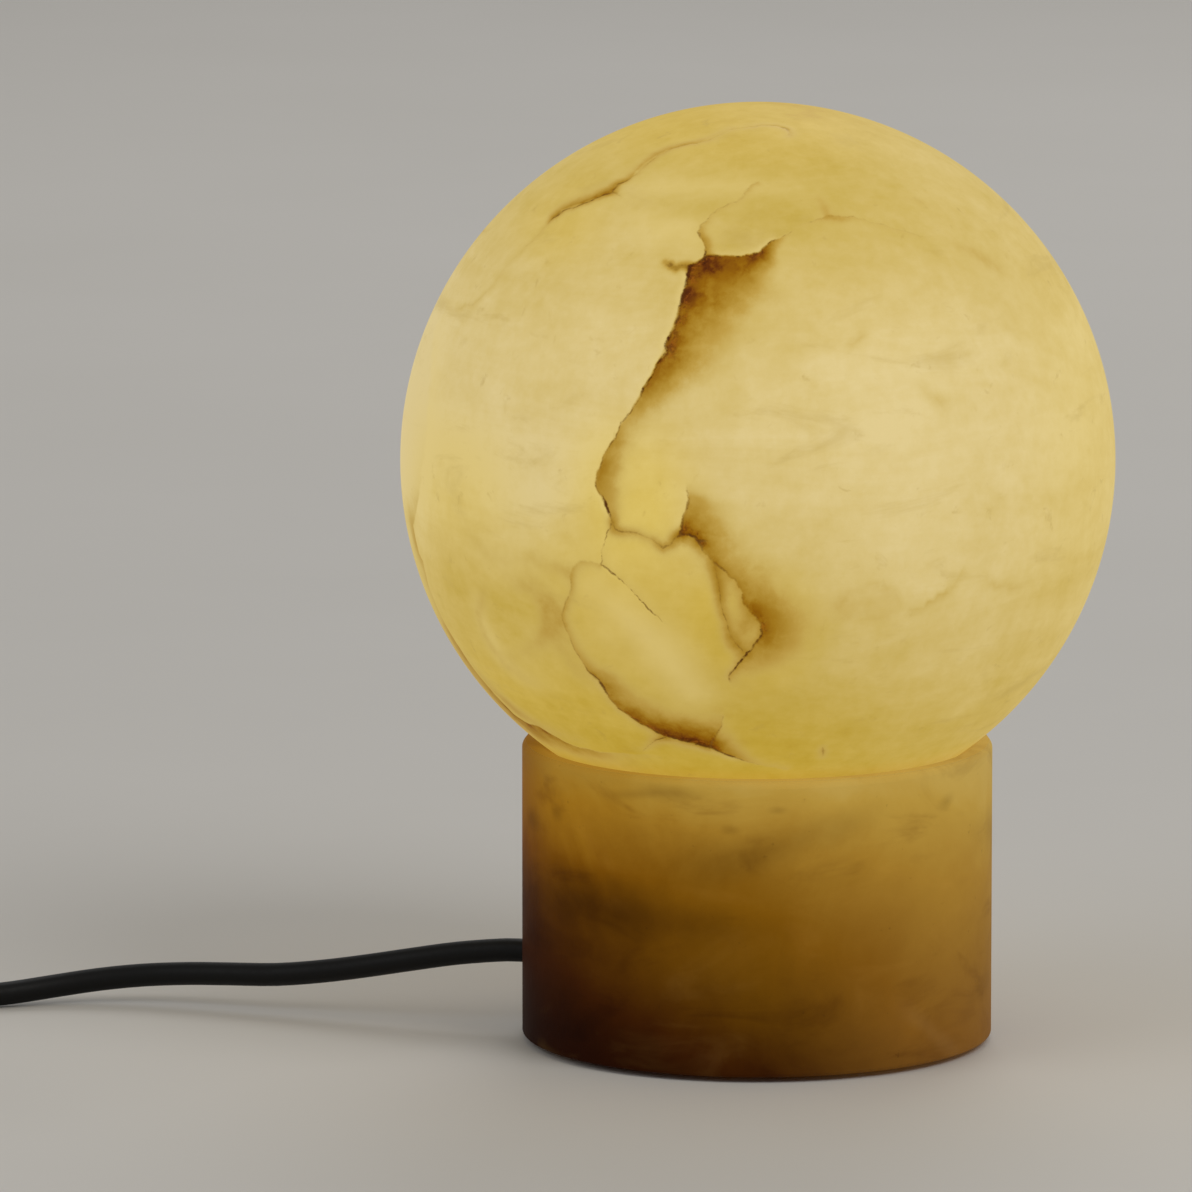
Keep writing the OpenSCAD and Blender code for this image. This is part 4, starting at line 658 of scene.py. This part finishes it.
def near_routes(at, reach):
    """Which points lie within reach of a visible line of a route."""
    hit = np.zeros(len(at), bool)
    for side, route in routes.values():
        inked = route[route[:, 4] > 0.05]
        if len(inked) < 2:
            continue
        near = np.flatnonzero(~hit & about(at, inked, reach))
        if len(near):
            hit[near[nearest(at[near], inked)[0] < reach]] = True
    return hit


def build_globe():
    middle = (0, 0, GLOBE_Z * MM)
    alone()
    bpy.ops.mesh.primitive_ico_sphere_add(subdivisions=7, radius=GLOBE_R * MM, location=middle)
    globe = bpy.context.object
    globe.name = "globe_stone"
    apply_place()
    mesh = globe.data
    # Finer faces along the lines, twice over
    for reach in (3.2, 1.6):
        hit = near_routes(on_sphere(mesh), reach)
        corner, start = np.empty(len(mesh.loops), int), np.empty(len(mesh.polygons), int)
        mesh.loops.foreach_get("vertex_index", corner)
        mesh.polygons.foreach_get("loop_start", start)
        edit()
        end_edit()
        mesh.polygons.foreach_set("select", np.logical_or.reduceat(hit[corner], start))
        bpy.ops.object.mode_set(mode="EDIT")
        bpy.ops.mesh.subdivide(number_cuts=1, ngon=False)
        end_edit()
        mesh.vertices.foreach_set("co", (on_sphere(mesh) + (0, 0, GLOBE_Z)).ravel() * MM)
        mesh.update()
    lip_z = GLOBE_Z - math.sqrt(GLOBE_R**2 - LIP_R**2)
    inner = GLOBE_R - GLOBE_WALL
    neck_z = GLOBE_Z - math.sqrt(inner**2 - MOUTH_R**2)
    edit(select="SELECT")
    bpy.ops.mesh.bisect(plane_co=(0, 0, lip_z * MM), plane_no=(0, 0, 1), clear_inner=True)

    # The hollow, and its mouth with a chamfer at the lip
    alone()
    bpy.ops.mesh.primitive_uv_sphere_add(segments=96, ring_count=48, radius=inner * MM, location=middle)
    hollow = bpy.context.object
    apply_place()
    edit(select="SELECT")
    bpy.ops.mesh.flip_normals()
    bpy.ops.mesh.bisect(plane_co=(0, 0, neck_z * MM), plane_no=(0, 0, 1), clear_inner=True)
    bpy.ops.mesh.extrude_edges_move(TRANSFORM_OT_translate={"value": (0, 0, (lip_z - neck_z) * MM)})
    bpy.ops.mesh.extrude_edges_move()
    grow = (MOUTH_R + LIP_CHAMFER) / MOUTH_R
    bpy.ops.transform.resize(value=(grow, grow, 1), center_override=(0, 0, lip_z * MM))
    alone(globe, hollow)
    bpy.ops.object.join()
    edit("EDGE")
    bpy.ops.mesh.select_non_manifold(extend=False)
    bpy.ops.mesh.bridge_edge_loops()
    end_edit()
    draw_veins(globe, lip_z)
    alone(globe)
    bpy.ops.object.shade_smooth_by_angle(angle=math.radians(40))
    return globe


def draw_veins(globe, lip_z):
    """Writes the routes onto the mesh: seam is the distance in line widths, ink its darkness, stain the soft
    brown beside it, partly mineral stain and partly painted shade, and pale what is lighter: pale rims and
    painted light. Then the dark lines are pressed in a little, as worn fissures are."""
    mesh = globe.data
    at = on_sphere(mesh)
    ink, stain, pale = np.zeros((3, len(at)))
    seam = np.full(len(at), 8.0)
    for name, (stain_and_shade_side, route) in routes.items():
        near = np.flatnonzero(about(at, route, route[:, 6].max() * 2.5 + 4))
        gap, side, past, value = nearest(at[near], route)
        width, dark, soft, far = value.T
        scaled = gap / width
        closer = (scaled < seam[near]) & (dark > 0.01)
        shown = near[closer]
        seam[shown] = scaled[closer]
        ink[shown] = (dark * np.clip(1.6 - gap / 2.2, 0, 1))[closer]
        plain = side * stain_and_shade_side < 0
        spread = np.exp(-((gap / far / 0.9) ** 1.6))
        # A narrow painted shade on either side of the lines, less the more one-sided their stain is
        edge = dark * 0.35 * (1 - abs(stain_and_shade_side)) * np.exp(-((gap / 1.7) ** 1.5))
        if stain_and_shade_side:
            left_over = (1 - abs(stain_and_shade_side)) * np.exp(-gap / 4)
            spread *= np.where(plain, np.maximum(np.exp(-gap / 0.25), left_over), 1) * np.exp(-past / 1.2)
            rim = np.exp(-((gap - 1.6 * width) ** 2)) * plain * np.clip(dark * 2 - 1, 0, 1) * 0.5
            pale[near] = np.maximum(pale[near], rim)
        if name in WALLS:
            wall_side, wall = routes[WALLS[name]]
            off, off_side = nearest(at[near], wall)[:2]
            spread *= np.where(off_side * wall_side < 0, np.exp(-off / 0.3), 1)
        stain[near] = 1 - (1 - stain[near]) * (1 - np.clip(soft * spread, 0, 1)) * (1 - edge)
        pale[near] = np.maximum(pale[near], -soft * spread)
    for name, values in (("seam", seam), ("ink", ink), ("stain", stain), ("pale", pale)):
        mesh.attributes.new(name, "FLOAT", "POINT").data.foreach_set("value", values.astype(np.float32))
    at, far = points_of(mesh)
    deep = np.exp(-(seam / 1.1) ** 2) * ink * (far > GLOBE_R - 1) * (at[:, 2] + GLOBE_Z > lip_z + 1)
    group = globe.vertex_groups.new(name="fissures")
    for i in np.flatnonzero(deep > 0.02):
        group.add([int(i)], float(deep[i]), "REPLACE")
    press = globe.modifiers.new("fissures", "DISPLACE")
    press.vertex_group, press.mid_level, press.strength = "fissures", 0, -FISSURE_DEPTH * MM
    alone(globe)
    bpy.ops.object.modifier_apply(modifier="fissures")


globe = build_globe()
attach(globe, "globe")
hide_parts("globe")


# The globe's stone: a painted glow for the bulb's light through it, strongest about the bulb's height, clouds,
# stains and painted shade, and the drawn lines
def globe_finish():
    """Its places are in globe radii, from the globe's middle."""
    f = Finish("globe_stone", Roughness=0.5, Specular_IOR_Level=0.12, Emission_Strength=0.72)
    x, y, z = (v / (GLOBE_R * MM) for v in f.axes(f.vector("SUBTRACT", f.place, (0, 0, GLOBE_Z * MM))))
    height = z + f.waver(14, 3, 0.5) * 0.22
    glow = f.ramp(height * 0.5 + 0.5, *[((h + 1) / 2, v) for h, v in (
        (-1, 0.22), (-0.7, 0.25), (-0.5, 0.34), (-0.3, 0.4), (-0.12, 0.64), (0.1, 0.74), (0.4, 0.7),
        (0.6, 0.52), (0.8, 0.3), (0.97, 0.22))])
    slow = f.waver(22, 5, 0.6, warp=0.8)
    streaks = f.waver(9, 6, 0.62, at=f.vector("ADD", f.place, (3.1, 0, 0)), stretch=(1, 1, 5), warp=1.2)
    # Painted light: the glow is lighter high on the left, at the left edge, and low and level on the right
    level = (glow + f.fade(x, -0.1, -0.45, 0, 0.13) * f.fade(z, -0.3, 0.05) + f.fade(x, -0.8, -1, 0, 0.2)
             + f.fade(x, 0, 0.3, 0, 0.1) * f.fade(abs(z + 0.35), 0.3, 0.05) + f.fade(x, 0.1, 0.6, 0, 0.12)
             + f.fade(abs(x - 0.36), 0.3, 0.06) * f.fade(abs(z), 0.5, 0.1) * 0.13
             + slow * 0.5 + streaks * 0.6 + f.waver(120, 4, 0.6) * 0.3 + f.waver(260, 3, 0.6) * 0.24)
    look = f.ramp(level, (0, "#b5933c"), (0.2, "#c1a64c"), (0.36, "#c8ae5c"), (0.52, "#ceb56a"),
                  (0.74, "#d6bf7c"), (0.95, "#ddc88c"))

    # More golden low on the left, at the top, the far right and the foot, and in patches of the front at
    # (right, up, reach, strength)
    golden = (f.fade(x, 0.1, -0.5) * f.fade(z, 0.1, -0.25) * 0.42
              + f.fade(z, 0.82, 1) * f.fade(x, 0.6, 0.1) * 0.8 + f.fade(x, 0.6, 1) * 0.5
              + f.fade(z, -0.35, -0.75) * f.fade(x, 0, 0.45, 1, 0.45))
    front = f.fade(y, 0, -0.5)
    for right, up, reach, strength in (
            (-0.33, -0.2, 0.4, 0.6), (-0.36, 0.09, 0.26, 0.75), (-0.02, -0.32, 0.25, 1),
            (-0.85, 0.04, 0.26, 0.5), (-0.58, 0.785, 0.22, 0.6)):
        gap = ((x - right) ** 2 + (z - up) ** 2) ** 0.5
        golden = f.fade(gap, reach, 0.05) * front * strength + golden
    look = f.mix(golden.under(1) * 0.85, look, "#fff8b4", "MULTIPLY")

    # Soft wisps and flecks in the stone
    wisp = f.noise(17, 5, 0.6, stretch=(1, 1, 3.2), warp=1.6)
    look = f.mix(f.fade(wisp, 0.56, 0.74) * 0.32, look, "#b3974a")
    fleck = f.noise(170, 3, 0.6, warp=0.5)
    look = f.mix(f.fade(fleck, 0.63, 0.78) * 0.3, look, "#a98b42")

    # The drawn lines, with the brown stain and painted shade beside them, and what has settled along them
    seam, ink, stain = f.drawn("seam"), f.drawn("ink"), f.drawn("stain")
    # Pale rims along the lines, and painted light where a route's stain is below 0
    look = f.mix(f.drawn("pale").under(0.9), look, "#e0c981")
    # Brown beside the lines: partly mineral stain, partly painted shade where the fractures hold back the
    # light
    soft = (stain * (0.83 + 0.36 * f.fade(f.noise(85, 5, 0.65), 0.36, 0.64))
            + f.waver(300, 3, 0.6) * 0.24 * stain)
    look = f.mix(f.fade(soft, 0, 0.3), look, f.ramp(
        soft, (0, "#ceb665"), (0.15, "#c5a958"), (0.28, "#bb9944"), (0.4, "#ae8930"), (0.52, "#a07619"),
        (0.64, "#8f5f02"), (0.76, "#7d4a00"), (0.88, "#5f2c00"), (1, "#421a00")))
    frayed = seam + f.waver(520, 3, 0.7) * 1.6
    grain = f.noise(900, 2, 0.6)
    lumps = (1 - f.fade(seam, 1.2, 6.5)) * f.fade(soft, 0.45, 0.7) * f.fade(f.noise(430, 3, 0.6), 0.47, 0.56)
    look = f.mix(lumps * 0.62, look, f.mix(f.fade(grain, 0.42, 0.6), "#5f2c02", "#96560e"))
    broken = 0.3 + 0.7 * f.fade(f.noise(340, 3, 0.6), 0.41, 0.56)
    line = (1 - f.fade(frayed, 0.25, 1.3)) * f.fade(ink + (grain - 0.5) * 0.6, 0.05, 0.95) * broken
    look = f.mix(line, look, f.mix(f.fade(ink, 0.45, 1), "#7f5c1e", "#4c2100"))

    # The stone's colour is also given off as a painted glow, standing in for the bulb's light through it
    f.feed("Base Color", f.mix(0.5, look, "#000000"))
    f.feed("Emission Color", look)
    f.bump(f.waver(45, 5, 0.6) * 0.5 + (grain - 0.5) * 0.05 - line * 0.35, 0.0006)
    return f


# The base's stone, with painted light: it glows from above and is painted darker towards the foot and the
# left, with smudges at (way round from the front, height, half length, half height, slope, strength) in
# millimetres
SMUDGES = [
    (-43, 47, 22, 6.5, 0, 0.42), (-57, 46.5, 9, 5.5, 0, 0.25), (-18, 43.5, 24, 4.5, -0.06, 0.22),
    (-26, 81, 8.5, 1.8, 0, 0.3), (-38, 79.5, 7, 1.4, 0.1, 0.22), (-84, 66, 5, 2.6, 0, 0.35),
    (-67, 70.5, 2.4, 1.8, 0, 0.3), (3, 66, 23, 5.2, 0.27, 0.3), (60, 74.6, 3.4, 1.8, 0.2, 0.25),
    (-8.4, 71.5, 2, 1.1, 0, 0.22), (5, 77, 2.2, 0.9, 0, 0.22), (-62, 56, 14, 3.5, -0.1, 0.2),
    (112, 58, 24, 6, -0.2, 0.4), (128, 34, 12, 4, 0.1, 0.35), (171, 70, 20, 3.5, 0.15, 0.4),
    (188, 46, 10, 5, 0, 0.4), (-128, 60, 17, 5, 0.25, 0.4), (-150, 28, 20, 5, -0.1, 0.35),
    (-112, 22, 8, 3, 0.2, 0.3), (84, 18, 9, 3, 0.1, 0.2)]


def base_finish():
    f = Finish("base_stone", Roughness=0.55, Specular_IOR_Level=0.04, Emission_Strength=0.5)
    x, y, z = (v / MM for v in f.axes())
    side = x / BASE_R + f.waver(26, 4, 0.55, warp=0.8) * 0.28
    top = 90
    high = (z + f.waver(18, 5, 0.6, warp=1) * 26 + f.waver(95, 4, 0.6) * 7) / top
    rise = f.sum("MAXIMUM", high, 0).under(1)

    # The painted light that comes through grows with the height, at its own pace on the left, in the middle
    # and on the right
    inward = f.fade(side - f.fade(z, 34, 6, 0, 0.26), -1.02, -0.1)
    rightward = f.fade(side, -0.02, 0.95)
    left = f.fade(rise, 0, 0.5, 0.013, 0.055) + f.fade(rise, 0.4, 0.88, 0, 0.31)
    middle = rise ** 1.15 * 0.33 + 0.035 + f.fade(rise, 0.6, 0.95, 0, 0.15)
    right = rise * 0.21 + 0.19 + f.fade(rise, 0.3, 0.9, 0, 0.13)
    light = left * (1 - inward) + (middle * (1 - rightward) + right * rightward) * inward

    # The stone's colour in dim to strong painted light, cooler at the right of the foot and warmer on the left
    look = f.ramp(light, (0.013, "#1e0800"), (0.04, "#381a02"), (0.11, "#5e3b04"), (0.2, "#7c5209"),
                  (0.36, "#a27a29"), (0.47, "#b6933e"), (0.52, "#bfa152"))
    look = f.mix(inward * rightward * (1 - rise), look, "#000a1a", "ADD")
    look = f.mix((1 - inward) * f.fade(rise, 1, 0.8), look, "#fff1a8", "MULTIPLY")
    # Painted shade at the base's left edge
    look = f.mix(f.fade(x / BASE_R, -0.84, -1) * 0.6, look, "#b99a5c", "MULTIPLY")

    # Cloudy bands and pale wisps
    bands = f.noise(30, 4, 0.55, stretch=(1, 1, 2.4), warp=0.7)
    look = f.mix(f.fade(bands, 0.52, 0.78) * 0.42, look, "#9a7446", "MULTIPLY")
    look = f.mix(f.fade(bands, 0.46, 0.24) * 0.22, look, "#56421f", "ADD")
    around = f.sum("ARCTAN2", x, 0 - y) * BASE_R
    ragged_edge = f.waver(150, 3, 0.55) * 0.4 + f.waver(45, 3, 0.55) * 1.3
    dark = 0
    for at, level, long, tall, slope, strength in SMUDGES:
        along, up = around - at, z - level
        off = ((along / long) ** 2 + ((up - along * slope) / tall) ** 2) ** 0.5 + ragged_edge
        dark = (1 - f.fade(off, -0.1, 1.8)) * strength + dark
    on_wall = f.fade((x ** 2 + y ** 2) ** 0.5, BASE_R - 6, BASE_R - 2)
    look = f.mix(dark.under(0.8) * on_wall, look, "#7d6134", "MULTIPLY")

    # A pale vein low on the right
    vein = abs((z - 17) + (around - 45) * 0.72 + f.waver(80, 3, 0.6) * 6)
    pale = (1 - f.fade(vein, 0.2, 5)) * f.fade(around, 36, 50) * f.fade(around, 74, 60)
    look = f.mix(pale * 0.08 * on_wall, look, "#a98550")
    speck = f.noise(420, 2, 0.5)
    look = f.mix(f.fade(speck, 0.7, 0.82) * 0.3, look, "#2f1a06")
    # The stone's colour is also given off as a painted glow, standing in for the globe's light coming down
    # through it
    f.feed("Base Color", f.mix(0.22, look, "#000000"))
    f.feed("Emission Color", look)
    f.bump(f.waver(60, 5, 0.6) * 0.5 + f.waver(700, 2, 0.5) * 0.06, 0.0005)
    return f


def moulded(name, dark, light, roughness, grain=1500, depth=0.00003, worn=0.06, **fixed):
    """Plastic, rubber, paint or glaze, with a little unevenness in its colour, gloss and surface."""
    f = Finish(name, **fixed)
    cloud, fine = f.noise(70, 4, 0.6), f.noise(grain, 3, 0.6)
    f.feed("Base Color", f.mix(f.fade(cloud * 0.6 + fine * 0.4, 0.3, 0.7), dark, light))
    f.feed("Roughness", f.fade(cloud * 0.5 + fine * 0.5, 0.3, 0.7, roughness - worn, roughness + worn))
    f.bump(fine, depth)
    return f


def metal(name, dark, light, roughness, along=(1, 1, 14), **fixed):
    """Turned or drawn metal: fine lines across the way it is stretched, with dulled patches."""
    f = Finish(name, Metallic=1.0, **fixed)
    lines, dull = f.noise(260, 3, 0.6, stretch=along), f.noise(48, 5, 0.65)
    f.feed("Base Color", f.mix(f.fade(dull * 0.7 + lines * 0.3, 0.35, 0.68), light, dark))
    f.feed("Roughness", f.fade(dull * 0.5 + lines * 0.5, 0.3, 0.7, roughness - 0.07, roughness + 0.1))
    f.bump(lines, 0.00002)
    return f


def felt_finish():
    f = Finish("felt", Roughness=0.95, Sheen_Weight=0.35, Sheen_Roughness=0.5, Specular_IOR_Level=0.1)
    fibres = f.noise(900, 4, 0.75, warp=2.5)
    patches = f.noise(120, 3, 0.6)
    f.feed("Base Color", f.mix(f.fade(fibres * 0.7 + patches * 0.3, 0.32, 0.68), "#231a12", "#5a4936"))
    f.bump(fibres + f.noise(2600, 2, 0.6) * 0.5, 0.00035)
    return f


def wire_finish():
    """Blue and brown cores, on either side of the wiring's axis."""
    f = Finish("wire_insulation", Specular_IOR_Level=0.4)
    x, y, z = f.axes()
    across = x * OUTLET_WAY.y - y * OUTLET_WAY.x
    which = f.fade(across, -0.0001, 0.0001)
    fine = f.noise(900, 3, 0.6)
    f.feed("Base Color", f.mix(which, f.mix(fine, "#1b3f7a", "#2a5596"), f.mix(fine, "#4f2c14", "#6d4226")))
    f.feed("Roughness", f.fade(fine, 0.3, 0.7, 0.36, 0.5))
    f.bump(fine, 0.00002)
    return f


def cover_finish():
    """The bulb's milky cover, lit from within and whitest over the rows of lights."""
    f = Finish("bulb_cover", Roughness=0.3, Emission_Strength=1.1, Subsurface_Weight=0.1)
    z = f.axes()[2] / MM
    rows = f.noise(500, 2, 0.5) * 0.1 + f.fade(abs(z - BULB_Z), 2, 24, 1, 0.35)
    f.feed("Emission Color", f.ramp(rows, (0.3, "#e8c98a"), (0.7, "#ffe6b4"), (1, "#fff3d6")))
    f.feed("Base Color", f.mix(f.noise(800, 2, 0.5) * 0.2, "#f6efe0", "#e9ddc4"))
    f.bump(f.noise(1400, 2, 0.5), 0.00002)
    return f


def light_finish():
    f = Finish("led_phosphor", Roughness=0.4, Emission_Strength=1.4)
    grains = f.noise(2400, 3, 0.6)
    f.feed("Base Color", f.mix(grains, "#e6b83a", "#f6d664"))
    f.feed("Emission Color", f.mix(grains, "#ffd98a", "#fff0c0"))
    f.bump(grains, 0.00004)
    return f


def board_finish():
    f = Finish("led_board", Roughness=0.45)
    tracks = f.fade(abs(f.sum("FRACT", f.axes()[2] * 190) - 0.5), 0.4, 0.44)
    grain = f.noise(1600, 3, 0.6)
    f.feed("Base Color", f.mix(tracks * 0.35, f.mix(grain, "#dcdfd8", "#eef0ea"), "#b9c0b6"))
    f.bump(tracks + grain * 0.2, 0.00004)
    return f


def strap_finish():
    """A woven strap, with ribs along and across it."""
    f = Finish("strap", Roughness=0.85, Sheen_Weight=0.2)
    x, y, z = f.axes()
    c, s, ribs = math.cos(math.radians(STRAP_TURN)), math.sin(math.radians(STRAP_TURN)), 5200
    weave = (f.sum("SINE", (x * c + y * s + z) * ribs) + f.sum("SINE", (y * c - x * s) * ribs)) * 0.5
    fibres = f.noise(1500, 3, 0.7)
    f.feed("Base Color", f.mix(f.fade(weave + fibres, 0, 1), "#121110", "#35312d"))
    f.bump(weave * 0.5 + fibres, 0.00025)
    return f


globe_stone = globe_finish()
globe_stone.material.cycles.emission_sampling = "NONE"
globe_stone.on(globe)
base_finish().on("base")
felt_finish().on("seat_ring")
metal("stem_brass", "#8a6a34", "#b8954f", 0.3, (2.5, 2.5, 22)).on("top_plate", "stem_sleeve", "holder_cup")
metal("zinc_steel", "#8d9094", "#b9bcc0", 0.34).on(
    "threaded_tube", "tube_nuts", "tube_washer", "holder_bracket", "holder_screws", "chamber_plate",
    "clamp_screws", "terminal_screws", "cover_screws", "switch_screws")
metal("contact_brass", "#a97f38", "#d0a757", 0.28).on(
    "holder_contacts", "terminal_sleeves", "cover_inserts", "switch_contacts")
metal("pin_metal", "#a3a19a", "#c9c7c0", 0.22).on("bulb_pins", "plug_pins")
moulded("holder_ceramic", "#ddd6c6", "#f1ece0", 0.28, 900, Coat_Weight=0.3, Coat_Roughness=0.1).on(
    "holder_body")
moulded("bulb_plastic", "#e4e0d6", "#f3f0e8", 0.4, 1200).on("bulb_base")
moulded("nylon", "#d9d4c4", "#ece8da", 0.45, 900, 0.00004).on("clamp_block", "clamp_saddle", "terminal_block")
moulded("cover_paint", "#1c1a17", "#2e2b26", 0.6, 1900, 0.00012).on("bottom_cover")
moulded("foot_rubber", "#0f0e0d", "#1c1b1a", 0.82, 1300, 0.00008).on("rubber_feet")
moulded("grommet_rubber", "#0c0c0c", "#191818", 0.6, 1300, 0.00005).on("cord_grommet", "switch_sleeves")
moulded("black_plastic", "#101010", "#1d1c1c", 0.44, 2100, 0.00006).on(
    "switch_lower", "switch_upper", "plug_body", "pin_sleeves")
moulded("rocker_plastic", "#161616", "#262525", 0.3, 1700).on("switch_rocker")
moulded("cord_sheath", "#030303", "#080807", 0.55, 700, 0.00004, Specular_IOR_Level=0.25).on(
    cord_lamp, cord_plug, "cord_inner")
wire_finish().on("supply_wires", "holder_wires", "switch_wires")
cover_finish().on("bulb_cover")
light_finish().on("bulb_leds")
board_finish().on("bulb_board")
strap_finish().on(strap)


# Floor and soft light
alone()
bpy.ops.mesh.primitive_plane_add(size=14, location=(0, 0, 0))
floor = bpy.context.object
floor.name = "floor"
table = Finish("floor", Roughness=0.7, Specular_IOR_Level=0.2)
table.feed("Base Color", table.mix(table.noise(3, 4, 0.6), "#cfccc6", "#d6d3ce"))
table.on(floor)

world = bpy.data.worlds.new("studio")
bpy.context.scene.world = world
world.use_nodes = True
background = world.node_tree.nodes["Background"].inputs
background["Color"].default_value = (1, 0.985, 0.96, 1)
background["Strength"].default_value = 0.33


def softbox(name, place, aim, size, power):
    bpy.ops.object.light_add(type="AREA", location=place)
    lamp = bpy.context.object
    lamp.name = name
    lamp.data.shape, lamp.data.size, lamp.data.energy = "DISK", size, power
    lamp.rotation_euler = (Vector(aim) - Vector(place)).to_track_quat("-Z", "Y").to_euler()


softbox("key_light", (1.5, -1.6, 2.2), (0, 0, 0.12), 1.6, 26)
softbox("fill_light", (-2.0, -1.2, 1.5), (0, 0, 0.12), 1.8, 9)
softbox("back_light", (0.4, 2.2, 1.8), (0, 0, 0.15), 1.4, 12)

bpy.context.view_layer.update()
